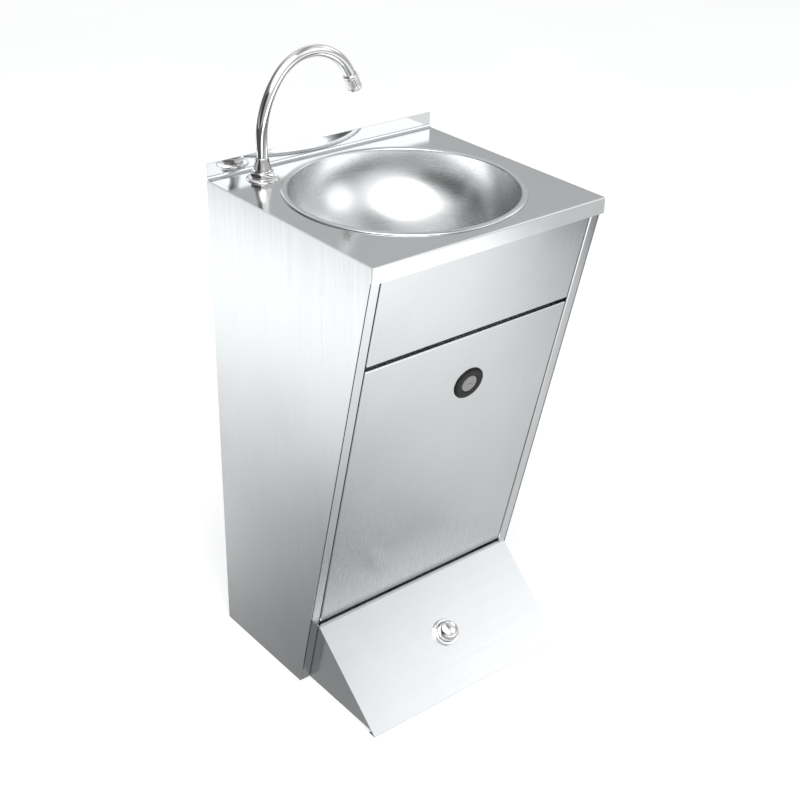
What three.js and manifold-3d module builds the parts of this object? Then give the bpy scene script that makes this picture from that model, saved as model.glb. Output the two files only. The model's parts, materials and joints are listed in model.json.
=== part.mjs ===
// A floor-standing, self-contained hand-wash cabinet: a worktop with a round basin and a swan-neck
// spout, a cabinet whose front leans back towards the floor, a drop-down access door with a
// quarter-turn latch, and a kick plinth that carries the push button of a foot pump.
//
// Millimetres, +Z up, +X to the right of someone who stands in front, +Y towards the wall.
// The origin lies on the floor, under the middle of the worktop.

import * as THREE from 'three';
import { mergeVertices } from 'three/addons/utils/BufferGeometryUtils.js';
import Module from 'manifold-3d';

const wasm = await Module();
wasm.setup();

// ---------------------------------------------------------------- driving dimensions

// Worktop
const WORKTOP_WIDTH = 450;
const WORKTOP_DEPTH = 420;
const WORKTOP_HEIGHT = 850;
const SPLASH_HEIGHT = 26;
const SPLASH_COVE = 6;
const FASCIA_HEIGHT = 26;
const FASCIA_BEND = 3;

// Sheet metal and clearances
const SHEET = 1.5;
const GAP = 0.3; // between pieces that rest on each other
const SEAM = 1.5; // shadow line between neighbouring outer panels
const FIT = 0.3; // radial clearance of a pin, shank or pipe in its hole

// Cabinet
const CABINET_DEPTH_TOP = 413; // under the fascia
const CABINET_DEPTH_FOOT = 226; // at the floor
const STILE_WIDTH = 17;
const STILE_RETURN = 22;
const REAR_FLANGE = 16;
const REAR_FLANGE_SETBACK = 5;
const BACK_SCREW_LOW = 90; // above the floor
const BACK_SCREW_HIGH = 88.5; // below the worktop's sheet
const SCREW_RADIUS = 2;
const SCREW_LENGTH = 10;
const SCREW_HEAD_RADIUS = 4;
const SCREW_HEAD_HEIGHT = 2.2;
const TRAY_HEIGHT = 11.5;
const TRAY_SETBACK = 22;
const TRAY_FOOT = 20; // width of the rim's flange on the floor

// Front panels, measured up the leaning front from the floor
const DOOR_BOTTOM = 140;
const SLOT_BELOW_FASCIA = 160; // from the fascia's lower edge to the finger slot's middle
const SLOT_HEIGHT = 8;
const PANEL_GAP = 2; // between a front panel and its stile
const PANEL_RETURN = 18;
const UPPER_PANEL_TUCK = 10; // how far the upper panel runs up behind the fascia
const RAIL_HEIGHT = 45;
const RAIL_FLANGE = 18;
const RAIL_RISE = 12; // how far the rail's top stands above the slot
const STIFFENER_BELOW_LATCH = 170;
const STIFFENER_HALF_CROWN = 14;
const STIFFENER_FOOT = 15;
const STIFFENER_DEPTH = 11;
const STIFFENER_SHEET = 1;
const STIFFENER_END_ROOM = 12;

// Door hinge
const HINGE_DEPTH = 7; // behind the front face
const HINGE_RISE = 8; // above the door's lower edge
const HINGE_PIN_RADIUS = 3;
const HINGE_HEAD_RADIUS = 4.5;

// Door latch
const LATCH_X = 20;
const LATCH_BELOW_SLOT = 105;
const ROSETTE_RADIUS = 29;
const ROSETTE_HEIGHT = 4;
const LATCH_CORE_RADIUS = 15;
const LATCH_BARREL_RADIUS = 19;
const LATCH_BARREL_LENGTH = 17;
const LATCH_SHAFT_RADIUS = 5;
const CAM_LENGTH = 42;
const CAM_WIDTH = 16;
const CAM_THICKNESS = 3;
const KEEPER_WIDTH = 40;
const KEEPER_OVERLAP = 14;
const CAM_SQUARE_RADIUS = 3.2;
const CAM_SCREW_RADIUS = 6;
const CAM_SCREW_HEIGHT = 4;
const LATCH_NUT_RIM = 7;
const LATCH_NUT_HEIGHT = 5;
const KEY_SLOT_LENGTH = 9;
const KEY_SLOT_WIDTH = 1;

// Kick plinth and foot pump
const PLINTH_WIDTH = 420;
const PLINTH_HEIGHT = 134;
const PLINTH_TOP_REACH = 8; // how far the plinth's upper edge stands in front of the cabinet
const PLINTH_TOE_REACH = 193; // how far its toe stands in front of the cabinet's foot
const CHEEK_DEPTH = 18; // how far its cheeks run in behind the cabinet's front
const TOE_FLANGE = 16;
const BUTTON_X = 6;
const BUTTON_RADIUS = 18;
const BUTTON_SKIRT_TOP = 13;
const BUTTON_TOP = 24;
const BUTTON_BOTTOM = 10;
const BUTTON_TRAVEL = 12;
const COLLAR_RADIUS = 24;
const COLLAR_HEIGHT = 5;
const COLLAR_SLEEVE = 14;
const COLLAR_WALL = 2.3;
const PUMP_RADIUS = 25;
const PUMP_LENGTH = 62;
const PUMP_CHAMBER_DEPTH = 32;
const PUMP_BORE_RADIUS = 11;
const PUMP_BORE_RESERVE = 3; // below the plunger when the button is down
const STEM_CLEARANCE = 2; // between the raised stem's end and the spring chamber's floor
const PORT_RADIUS = 8;
const PORT_REACH = 38;
const PORT_DEPTH = 48;
const PORT_NUT_RADIUS = 11;
const PORT_NUT_LENGTH = 11;
const STEM_RADIUS = 6;
const PLUNGER_LENGTH = 9;
const SEAL_RADIUS = 1.1;
const SPRING_RADIUS = 13;
const SPRING_WIRE = 1;
const SPRING_TURN_GAP = 0.3; // between the turns when the spring is pressed together

// Basin and drain
const BASIN_RADIUS = 180;
const BASIN_DEPTH = 145;
const BASIN_SHEET = 1.2;
const BEAD_WIDTH = 11;
const BEAD_HEIGHT = 3;
const DRAIN_RECESS_RADIUS = 34;
const DRAIN_RECESS_DEPTH = 3;
const DRAIN_RADIUS = 21;
const DRAIN_TAIL = 34;
const DRAIN_NUT_RADIUS = 31;
const DRAIN_NUT_HEIGHT = 9;
const GASKET_THICKNESS = 3;
const GRATE_BAR_WIDTH = 2.6;
const GRATE_BAR_HEIGHT = 3;
const GRATE_DEPTH = 3; // below the flange's seat
const TAILPIECE_WALL = 3;
const TAILPIECE_OVERLAP = 12; // how far it covers the drain's tail
const TAILPIECE_LENGTH = 40; // below the drain's tail

// Spout
const SPOUT_X = -151;
const SPOUT_Y = 165;
const SPOUT_TUBE_RADIUS = 9;
const SPOUT_WALL = 1.5;
const SPOUT_RISER = 60;
const SPOUT_RISE_BEND = 150; // the first, wide part of the bend
const SPOUT_RISE_SWEEP = THREE.MathUtils.degToRad(40);
const SPOUT_BEND = 80;
const SPOUT_SWEEP = THREE.MathUtils.degToRad(156);
const SPOUT_END = 8;
const SPOUT_FLANGE_RADIUS = 26;
const SPOUT_FLANGE_HEIGHT = 4;
const SPOUT_HEX_RADIUS = 20;
const SPOUT_HEX_HEIGHT = 8;
const SPOUT_HEX_TURN = THREE.MathUtils.degToRad(20); // sets a corner towards the left front
const SPOUT_CONE_RADIUS = 14.5;
const SPOUT_CONE_HEIGHT = 21;
const SHANK_RADIUS = 8;
const SHANK_LENGTH = 44;
const LOCKNUT_RADIUS = 17;
const LOCKNUT_HEIGHT = 9;
const AERATOR_RADIUS = 11.5;
const AERATOR_LENGTH = 27;
const AERATOR_GRIP = 7; // how far the aerator's sleeve runs back over the tube
const AERATOR_WALL = 2.4;
const AERATOR_CHAMFER = 0.8;
const INSERT_THICKNESS = 7;
const INSERT_RECESS = 2;
const INSERT_HOLES = 6;
const INSERT_HOLE_RADIUS = 1.4;

// Tanks and pipes
const TANK_HEIGHT = 320;
const TANK_DEPTH = 175;
const TANK_CORNER = 26;
const TANK_WALL = 3;
const TANK_SIDE_ROOM = 17;
const TANK_MIDDLE_ROOM = 30;
const NECK_RADIUS = 27;
const NECK_HEIGHT = 18;
const CAP_RADIUS = 33;
const CAP_HEIGHT = 22;
const CAP_CHAMFER = 3;
const CAP_CLEARANCE = 2; // between the cap's skirt and the tank's top
const WATER_PIPE_RADIUS = 5;
const WASTE_PIPE_RADIUS = 11;
const PIPE_FIT = 1; // radial clearance of a pipe in a cap or a tailpiece

// ---------------------------------------------------------------- derived places

const BACK_Y = WORKTOP_DEPTH / 2;
const FASCIA_Y = -WORKTOP_DEPTH / 2;
const SIDE_X = WORKTOP_WIDTH / 2;
const UNDERSIDE_Z = WORKTOP_HEIGHT - SHEET;
const FASCIA_Z = WORKTOP_HEIGHT - FASCIA_HEIGHT;
const BACK_SCREW_Z = [BACK_SCREW_LOW, UNDERSIDE_Z - BACK_SCREW_HIGH];
const FOOT_Y = BACK_Y - CABINET_DEPTH_FOOT;
const TOP_Y = BACK_Y - CABINET_DEPTH_TOP;
const LEAN = Math.atan2(FOOT_Y - TOP_Y, FASCIA_Z);
const frontYAt = (z) => FOOT_Y - z * Math.tan(LEAN);

const STILE_OUTER_X = SIDE_X - SHEET - SEAM;
const STILE_INNER_X = STILE_OUTER_X - STILE_WIDTH;
const PANEL_X = STILE_INNER_X - PANEL_GAP;
const SLOT_CENTRE = FASCIA_Z / Math.cos(LEAN) - SLOT_BELOW_FASCIA;
const DOOR_TOP = SLOT_CENTRE - SLOT_HEIGHT / 2;
const UPPER_BOTTOM = SLOT_CENTRE + SLOT_HEIGHT / 2;
const UPPER_TOP = (FASCIA_Z + UPPER_PANEL_TUCK) / Math.cos(LEAN) - PANEL_RETURN * Math.tan(LEAN);
const HINGE_S = DOOR_BOTTOM + HINGE_RISE;
const LATCH_S = SLOT_CENTRE - LATCH_BELOW_SLOT;
const KEEPER_FRONT = PANEL_RETURN + 2 + SHEET + GAP;
const CAM_FRONT = KEEPER_FRONT + SHEET + 0.6;

const PLINTH_TOP_Y = frontYAt(PLINTH_HEIGHT) - PLINTH_TOP_REACH;
const PLINTH_TOE_Y = FOOT_Y - PLINTH_TOE_REACH;
const PLINTH_RUN = PLINTH_TOP_Y - PLINTH_TOE_Y;
const PLINTH_SLOPE = Math.atan2(PLINTH_HEIGHT, PLINTH_RUN);
const CHEEK_X = STILE_INNER_X - 0.5;

const RAIL_FRONT = PANEL_RETURN + 2;
const BASIN_FLOOR_Z = WORKTOP_HEIGHT - BASIN_DEPTH;
const PUMP_BORE_END = PUMP_CHAMBER_DEPTH + PLUNGER_LENGTH + BUTTON_TRAVEL + PUMP_BORE_RESERVE;
const SPRING_ROOM = PUMP_CHAMBER_DEPTH - BUTTON_BOTTOM - BUTTON_TRAVEL - 2 * GAP;
const TANK_WIDTH = SIDE_X - SHEET - TANK_SIDE_ROOM - TANK_MIDDLE_ROOM / 2;
const TANK_X = TANK_MIDDLE_ROOM / 2 + TANK_WIDTH / 2;
const TANK_BACK_Y = BACK_Y - REAR_FLANGE_SETBACK - SHEET - 3.5;
const TANK_Y = TANK_BACK_Y - TANK_DEPTH / 2;
const TANK_FLOOR_Z = TRAY_HEIGHT + GAP;
const TANK_TOP_Z = TANK_FLOOR_Z + TANK_HEIGHT;

// ---------------------------------------------------------------- materials

const finish = (color, roughness, metalness) =>
  new THREE.MeshStandardMaterial({ color, roughness, metalness });
const panelSteel = () => finish(0xc9ccce, 0.34, 1);
const basinSteel = () => finish(0xbfc2c4, 0.28, 1);
const chrome = () => finish(0xe4e6e8, 0.06, 1);
const blackPlastic = () => finish(0x101112, 0.45, 0);
const nickel = () => finish(0x9b9a98, 0.4, 1);
const zincSteel = () => finish(0xaeb2b4, 0.35, 1);
const blackRubber = () => finish(0x161616, 0.8, 0);
const tankPlastic = () => finish(0xe8ebe6, 0.45, 0);
const bluePlastic = () => finish(0x2b5f9e, 0.4, 0);
const greyPlastic = () => finish(0x8a8e90, 0.45, 0);
const pumpPlastic = () => finish(0x3c4043, 0.4, 0);

// ---------------------------------------------------------------- geometry helpers

/** Welds a geometry's vertices, drops empty triangles and turns its faces outwards. */
function closed(geometry) {
  const bare = geometry.clone();
  for (const name of Object.keys(bare.attributes)) {
    if (name !== 'position') bare.deleteAttribute(name);
  }
  const welded = mergeVertices(bare, 1e-4);
  const index = Array.from(welded.index.array);
  const kept = [];
  for (let i = 0; i < index.length; i += 3) {
    const [a, b, c] = index.slice(i, i + 3);
    if (a !== b && b !== c && c !== a) kept.push(a, b, c);
  }
  const corner = [new THREE.Vector3(), new THREE.Vector3(), new THREE.Vector3()];
  let volume = 0;
  for (let i = 0; i < kept.length; i += 3) {
    corner.forEach((v, k) => v.fromBufferAttribute(welded.attributes.position, kept[i + k]));
    volume += corner[0].dot(corner[1].cross(corner[2]));
  }
  if (volume < 0) kept.reverse();
  const result = new THREE.BufferGeometry();
  result.setAttribute('position', welded.attributes.position);
  result.setIndex(kept);
  return result;
}

/** A geometry as a solid that can be joined and cut. */
function solid(geometry) {
  const ready = closed(geometry);
  return new wasm.Manifold(new wasm.Mesh({
    numProp: 3,
    vertProperties: new Float32Array(ready.attributes.position.array),
    triVerts: new Uint32Array(ready.index.array),
  }));
}

/** The geometry of a joined or cut solid. */
function geometryOf(manifold) {
  const mesh = manifold.getMesh();
  const result = new THREE.BufferGeometry();
  result.setAttribute('position', new THREE.BufferAttribute(new Float32Array(mesh.vertProperties), 3));
  result.setIndex(Array.from(mesh.triVerts));
  return result;
}

const join = (...geometries) =>
  geometryOf(geometries.map(solid).reduce((whole, next) => whole.add(next)));

const cut = (geometry, ...tools) =>
  geometryOf(tools.map(solid).reduce((whole, tool) => whole.subtract(tool), solid(geometry)));

/** A block between two corners. */
function block(x0, x1, y0, y1, z0, z1) {
  return new THREE.BoxGeometry(x1 - x0, y1 - y0, z1 - z0)
    .translate((x0 + x1) / 2, (y0 + y1) / 2, (z0 + z1) / 2);
}

/** A (y, z) outline, extruded along X from x0 to x1. */
function alongX(outline, x0, x1) {
  const shape = outline instanceof THREE.Shape
    ? outline : new THREE.Shape(outline.map(([y, z]) => new THREE.Vector2(y, z)));
  const turn = new THREE.Matrix4().set(0, 0, 1, x0, 1, 0, 0, 0, 0, 1, 0, 0, 0, 0, 0, 1);
  return new THREE.ExtrudeGeometry(shape, { depth: x1 - x0, bevelEnabled: false, curveSegments: 5 })
    .applyMatrix4(turn);
}

/** A closed (radius, z) outline, turned about the Z axis. */
function turned(outline, segments = 20) {
  const first = outline[0];
  const last = outline[outline.length - 1];
  const onAxis = first[0] === 0 && last[0] === 0;
  const loop = onAxis ? outline : [...outline, first];
  return closed(new THREE.LatheGeometry(loop.map(([r, z]) => new THREE.Vector2(r, z)), segments)
    .rotateX(Math.PI / 2));
}

/** A washer or sleeve about the Z axis. */
const ring = (inner, outer, z0, z1, segments = 20) =>
  turned([[inner, z0], [outer, z0], [outer, z1], [inner, z1]], segments);

/** A round bar about the Z axis. */
const rod = (radius, z0, z1, segments = 20) =>
  turned([[0, z0], [radius, z0], [radius, z1], [0, z1]], segments);

/** A round bar along X, centred on (y, z). */
const rodX = (radius, x0, x1, y, z, segments = 16) =>
  rod(radius, x0, x1, segments).rotateY(Math.PI / 2).translate(0, y, z);

/** A hexagonal nut blank about the Z axis. */
const hexagon = (radius, z0, z1) =>
  new THREE.CylinderGeometry(radius, radius, z1 - z0, 6).rotateX(Math.PI / 2)
    .translate(0, 0, (z0 + z1) / 2);

/** Points on an arc in a plane, from one angle to another. */
function arc(cx, cy, radius, from, to, steps) {
  const points = [];
  for (let i = 0; i <= steps; i += 1) {
    const angle = from + ((to - from) * i) / steps;
    points.push([cx + radius * Math.cos(angle), cy + radius * Math.sin(angle)]);
  }
  return points;
}

/** A round pipe along a smooth curve through the given points. */
function pipe(points, radius, steps, sides = 10, inner = 0) {
  const section = new THREE.Shape().absarc(0, 0, radius, 0, 2 * Math.PI);
  if (inner) section.holes.push(new THREE.Path().absarc(0, 0, inner, 0, 2 * Math.PI, true));
  const knots = points.map((p) => new THREE.Vector3(...p));
  const path = new THREE.CatmullRomCurve3(knots, false, 'centripetal');
  return closed(new THREE.ExtrudeGeometry(section, {
    steps, curveSegments: sides, bevelEnabled: false, extrudePath: path,
  }));
}

function mesh(name, geometry, material) {
  const result = new THREE.Mesh(geometry, material);
  result.name = name;
  geometry.computeVertexNormals();
  return result;
}

const sink = new THREE.Group();

/** The leaning front: X across, Y inwards from the front face, Z up the face from the floor. */
const front = new THREE.Group();
front.position.set(0, FOOT_Y, 0);
front.rotation.x = LEAN;
sink.add(front);

/** The plinth's sloping face: Y up the slope from the button, Z out of the face. */
const slope = new THREE.Group();
slope.rotation.x = PLINTH_SLOPE;
slope.position.set(BUTTON_X, (PLINTH_TOP_Y + PLINTH_TOE_Y) / 2, PLINTH_HEIGHT / 2);
sink.add(slope);

// ---------------------------------------------------------------- worktop

/** The outline of the folded worktop sheet: fascia, top, coved splash. */
function worktopOutline() {
  const top = WORKTOP_HEIGHT;
  const under = UNDERSIDE_Z;
  const bend = [FASCIA_Y + FASCIA_BEND, top - FASCIA_BEND];
  const cove = [BACK_Y - SHEET - SPLASH_COVE, top + SPLASH_COVE];
  const half = Math.PI / 2;
  return [
    [FASCIA_Y, FASCIA_Z],
    ...arc(...bend, FASCIA_BEND, Math.PI, half, 4),
    ...arc(...cove, SPLASH_COVE, -half, 0, 5),
    [BACK_Y - SHEET, top + SPLASH_HEIGHT],
    [BACK_Y, top + SPLASH_HEIGHT],
    ...arc(...cove, SPLASH_COVE + SHEET, 0, -half, 5),
    ...arc(...bend, FASCIA_BEND - SHEET, half, Math.PI, 4),
    [FASCIA_Y + SHEET, FASCIA_Z],
  ];
}

function worktop() {
  const sheet = alongX(worktopOutline(), -SIDE_X, SIDE_X);
  const basinHole = rod(BASIN_RADIUS + BASIN_SHEET + 2 * GAP, UNDERSIDE_Z - 5, WORKTOP_HEIGHT + 5, 48);
  const spoutHole = rod(SHANK_RADIUS + FIT + 1, UNDERSIDE_Z - 5, WORKTOP_HEIGHT + 5)
    .translate(SPOUT_X, SPOUT_Y, 0);
  return cut(sheet, basinHole, spoutHole);
}

/** The basin: a rolled bead that lies on the worktop, an elliptical bowl and a drain recess. */
function basin() {
  const top = WORKTOP_HEIGHT;
  const beadMiddle = BASIN_RADIUS + BEAD_WIDTH / 2;
  const bead = arc(0, 0, 1, 0, Math.PI, 5)
    .map(([c, s]) => [beadMiddle + (c * BEAD_WIDTH) / 2, top + GAP + s * BEAD_HEIGHT]);
  const bowl = (radius, depth) => {
    const end = Math.acos(DRAIN_RECESS_RADIUS / radius);
    return arc(0, 0, 1, 0, end, 8).slice(1).map(([c, s]) => [radius * c, top - depth * s]);
  };
  const floor = top - BASIN_DEPTH - DRAIN_RECESS_DEPTH;
  const outside = bowl(BASIN_RADIUS + BASIN_SHEET, BASIN_DEPTH + BASIN_SHEET).reverse();
  return turned([
    ...bead,
    ...bowl(BASIN_RADIUS, BASIN_DEPTH),
    [DRAIN_RECESS_RADIUS - 1, floor],
    [DRAIN_RADIUS + FIT, floor],
    [DRAIN_RADIUS + FIT, floor - BASIN_SHEET],
    [DRAIN_RECESS_RADIUS, floor - BASIN_SHEET],
    ...outside,
    [BASIN_RADIUS + BASIN_SHEET, top + GAP],
  ], 48);
}

const drainSeatZ = BASIN_FLOOR_Z - DRAIN_RECESS_DEPTH + GAP;
const drainUnderZ = BASIN_FLOOR_Z - DRAIN_RECESS_DEPTH - BASIN_SHEET - GAP;
const drainEndZ = drainSeatZ - DRAIN_TAIL;

/** The strainer: a dished flange, a threaded tail and two bars that cross its bore. */
function drainStrainer() {
  const flange = DRAIN_RECESS_RADIUS - 3;
  const bore = DRAIN_RADIUS - 2;
  const body = turned([
    [bore, drainEndZ], [DRAIN_RADIUS, drainEndZ], [DRAIN_RADIUS, drainSeatZ],
    [flange, drainSeatZ], [flange, drainSeatZ + 1.4], [bore + 3, drainSeatZ + 1.8],
    [bore, drainSeatZ - 1.5],
  ], 24);
  const barTop = drainSeatZ - GRATE_DEPTH;
  const bar = block(-bore - 1, bore + 1, -GRATE_BAR_WIDTH / 2, GRATE_BAR_WIDTH / 2,
    barTop - GRATE_BAR_HEIGHT, barTop);
  return join(body, bar, bar.clone().rotateZ(Math.PI / 2));
}

/** The reducer that screws on the drain's tail and takes the waste pipe. */
function drainTailpiece() {
  const sleeve = DRAIN_RADIUS + FIT;
  const nose = WASTE_PIPE_RADIUS + PIPE_FIT;
  const top = drainEndZ + TAILPIECE_OVERLAP;
  const end = drainEndZ - TAILPIECE_LENGTH;
  const taper = drainEndZ - TAILPIECE_LENGTH / 2;
  return turned([
    [sleeve, top], [sleeve + TAILPIECE_WALL, top], [sleeve + TAILPIECE_WALL, drainEndZ - 6],
    [nose + TAILPIECE_WALL, taper], [nose + TAILPIECE_WALL, end], [nose, end],
    [nose, taper + 2], [sleeve, drainEndZ - 4],
  ]);
}

const gasketTop = drainUnderZ;
const gasketBottom = gasketTop - GASKET_THICKNESS;
const drainGasket = () => ring(DRAIN_RADIUS + FIT, DRAIN_NUT_RADIUS - 1, gasketBottom, gasketTop);

const drainNut = () => cut(
  hexagon(DRAIN_NUT_RADIUS + 2, gasketBottom - GAP - DRAIN_NUT_HEIGHT, gasketBottom - GAP),
  rod(DRAIN_RADIUS + FIT, gasketBottom - 20, gasketTop, 32),
);

sink.add(
  mesh('worktop', worktop(), panelSteel()),
  mesh('basin', basin(), basinSteel()),
  mesh('drain_strainer', drainStrainer(), chrome()),
  mesh('drain_gasket', drainGasket(), blackRubber()),
  mesh('drain_nut', drainNut(), greyPlastic()),
  mesh('drain_tailpiece', drainTailpiece(), greyPlastic()),
);

// ---------------------------------------------------------------- cabinet shell

/** A side panel: the outer skin and the flange that the back panel is screwed to. */
function sidePanel(side) {
  const outline = [
    [BACK_Y, 0],
    [BACK_Y, UNDERSIDE_Z - GAP],
    [FASCIA_Y + SHEET + SEAM, UNDERSIDE_Z - GAP],
    [FASCIA_Y + SHEET + SEAM, FASCIA_Z],
    [TOP_Y, FASCIA_Z],
    [FOOT_Y, 0],
  ];
  const flangeY = BACK_Y - REAR_FLANGE_SETBACK;
  const skin = alongX(outline, SIDE_X - SHEET, SIDE_X);
  const flange = block(SIDE_X - REAR_FLANGE, SIDE_X - SHEET / 2, flangeY - SHEET, flangeY,
    14, UNDERSIDE_Z - 8);
  const holes = BACK_SCREW_Z.map((z) => screwHole(SIDE_X - REAR_FLANGE / 2, z));
  return mirrored(cut(join(skin, flange), ...holes), side);
}

/** The same geometry on the left (-1) or on the right (+1). */
function mirrored(geometry, side) {
  return side > 0 ? geometry : closed(geometry.clone().scale(-1, 1, 1));
}

const screwHole = (x, z) =>
  rod(SCREW_RADIUS + FIT, -12, 12, 12).rotateX(Math.PI / 2)
    .translate(x, BACK_Y - REAR_FLANGE_SETBACK, z);

/** The back panel, behind the flanges, with its screws' holes and a lower air slot. */
function backPanel() {
  const y = BACK_Y - REAR_FLANGE_SETBACK + GAP;
  const halfWidth = SIDE_X - SHEET - GAP;
  const sheet = block(-halfWidth, halfWidth, y, y + SHEET, 12, UNDERSIDE_Z - 6);
  const holes = [];
  for (const side of [-1, 1]) {
    for (const z of BACK_SCREW_Z) holes.push(screwHole(side * (SIDE_X - REAR_FLANGE / 2), z));
  }
  return cut(sheet, ...holes);
}

/** A pan-head screw through the back panel and the side panel's flange. */
function backScrew(x, z) {
  const headY = BACK_Y - REAR_FLANGE_SETBACK + SHEET + 2 * GAP;
  return turned([
    [0, -SCREW_LENGTH], [SCREW_RADIUS, -SCREW_LENGTH], [SCREW_RADIUS, 0], [SCREW_HEAD_RADIUS, 0],
    [0.9 * SCREW_HEAD_RADIUS, 0.7 * SCREW_HEAD_HEIGHT], [0, SCREW_HEAD_HEIGHT],
  ], 14)
    .rotateX(-Math.PI / 2).translate(x, headY, z);
}

/** The base tray: a floor plate on a down-turned rim, which is turned in again as a foot. */
function baseTray() {
  const halfWidth = SIDE_X - SHEET - GAP;
  const y0 = FOOT_Y + TRAY_SETBACK;
  const y1 = BACK_Y - REAR_FLANGE_SETBACK - SHEET - GAP;
  const opening = TRAY_FOOT;
  return cut(
    block(-halfWidth, halfWidth, y0, y1, 0, TRAY_HEIGHT),
    block(-halfWidth + SHEET, halfWidth - SHEET, y0 + SHEET, y1 - SHEET, SHEET, TRAY_HEIGHT - SHEET),
    block(-halfWidth + opening, halfWidth - opening, y0 + opening, y1 - opening, -1, SHEET + 1),
  );
}

/** A front post: its face beside the side panel and its return beside the door. */
function stile(side) {
  const top = (WORKTOP_HEIGHT - 10) / Math.cos(LEAN);
  const face = block(STILE_INNER_X, STILE_OUTER_X, 0, SHEET, 0, top);
  const back = block(STILE_INNER_X, STILE_INNER_X + SHEET, SHEET / 2, STILE_RETURN, 0, top - 5);
  const pinHole = rodX(HINGE_PIN_RADIUS + FIT, STILE_INNER_X - 5, STILE_INNER_X + 5, HINGE_DEPTH, HINGE_S);
  return mirrored(cut(join(face, back), pinHole), side);
}

/** A front panel: a skin with four bent returns. */
function foldedPanel(bottom, top) {
  return cut(
    block(-PANEL_X, PANEL_X, 0, PANEL_RETURN, bottom, top),
    block(-PANEL_X + SHEET, PANEL_X - SHEET, SHEET, PANEL_RETURN + 1, bottom + SHEET, top - SHEET),
  );
}

/** The rail between the stiles, behind the finger slot: an upright and a top flange. */
function crossRail() {
  const halfWidth = STILE_INNER_X - GAP;
  const bottom = UPPER_BOTTOM - RAIL_HEIGHT + RAIL_RISE;
  const top = bottom + RAIL_HEIGHT;
  return join(
    block(-halfWidth, halfWidth, RAIL_FRONT, RAIL_FRONT + SHEET, bottom, top),
    block(-halfWidth, halfWidth, RAIL_FRONT, RAIL_FRONT + RAIL_FLANGE, top - SHEET, top),
  );
}

/** The strike that hangs from the rail and holds the latch's cam. */
function latchKeeper() {
  const bottom = LATCH_S + CAM_LENGTH - KEEPER_OVERLAP;
  const top = UPPER_BOTTOM + 6;
  return block(LATCH_X - KEEPER_WIDTH / 2, LATCH_X + KEEPER_WIDTH / 2,
    KEEPER_FRONT, KEEPER_FRONT + SHEET, bottom, top);
}

for (const [side, word] of [[-1, 'left'], [1, 'right']]) {
  sink.add(mesh(`${word}_side_panel`, sidePanel(side), panelSteel()));
  front.add(mesh(`${word}_stile`, stile(side), panelSteel()));
}
sink.add(
  mesh('back_panel', backPanel(), panelSteel()),
  mesh('base_tray', baseTray(), panelSteel()),
);
front.add(
  mesh('upper_front_panel', foldedPanel(UPPER_BOTTOM, UPPER_TOP), panelSteel()),
  mesh('cross_rail', crossRail(), zincSteel()),
  mesh('latch_keeper', latchKeeper(), zincSteel()),
);
for (const [side, word] of [[-1, 'left'], [1, 'right']]) {
  BACK_SCREW_Z.forEach((z, i) => {
    const place = i === 0 ? 'lower' : 'upper';
    const x = side * (SIDE_X - REAR_FLANGE / 2);
    sink.add(mesh(`back_screw_${place}_${word}`, backScrew(x, z), zincSteel()));
  });
}

// ---------------------------------------------------------------- door, hinges and latch

const barrelHole = () =>
  rod(LATCH_BARREL_RADIUS + FIT, -10, 10, 32).rotateX(Math.PI / 2).translate(LATCH_X, 0, LATCH_S);

function doorPanel() {
  const pinHoles = [-1, 1].map((side) =>
    rodX(HINGE_PIN_RADIUS + FIT, side * PANEL_X - 6, side * PANEL_X + 6, HINGE_DEPTH, HINGE_S));
  return cut(foldedPanel(DOOR_BOTTOM, DOOR_TOP), barrelHole(), ...pinHoles);
}

/** A hat-section stiffener across the inside of the door's skin, below the latch. */
function doorStiffener() {
  const halfWidth = PANEL_X - SHEET - STIFFENER_END_ROOM;
  const middle = LATCH_S - STIFFENER_BELOW_LATCH;
  const crown = STIFFENER_HALF_CROWN;
  const foot = crown + STIFFENER_FOOT - STIFFENER_SHEET;
  const inner = SHEET + GAP;
  const outer = inner + STIFFENER_DEPTH;
  const web = crown - STIFFENER_SHEET;
  const bar = (y0, y1, s0, s1) => block(-halfWidth, halfWidth, y0, y1, middle + s0, middle + s1);
  return join(
    bar(inner, inner + STIFFENER_SHEET, -foot, -web),
    bar(inner, outer, -crown, -web),
    bar(outer - STIFFENER_SHEET, outer, -crown, crown),
    bar(inner, outer, web, crown),
    bar(inner, inner + STIFFENER_SHEET, web, foot),
  );
}

/** A shouldered hinge pin, riveted in the stile, with its head inside the door. */
function hingePin(side) {
  const inner = PANEL_X - SHEET - 0.5;
  const pin = join(
    rodX(HINGE_PIN_RADIUS, inner - 1, STILE_INNER_X + SHEET + 2, HINGE_DEPTH, HINGE_S),
    rodX(HINGE_HEAD_RADIUS, inner - 2, inner, HINGE_DEPTH, HINGE_S),
  );
  return mirrored(pin, side);
}

/** The washer that keeps the door clear of the stile. */
function hingeWasher(side) {
  const x = PANEL_X + 0.4;
  const washer = ring(HINGE_PIN_RADIUS + FIT, HINGE_HEAD_RADIUS, x, STILE_INNER_X - 0.4, 20)
    .rotateY(Math.PI / 2).translate(0, HINGE_DEPTH, HINGE_S);
  return mirrored(washer, side);
}

/** The latch's own frame: Z runs inwards through the door, from the skin's face. */
const latch = new THREE.Group();
latch.position.set(LATCH_X, 0, LATCH_S);
latch.rotation.x = -Math.PI / 2;
front.add(latch);

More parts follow.
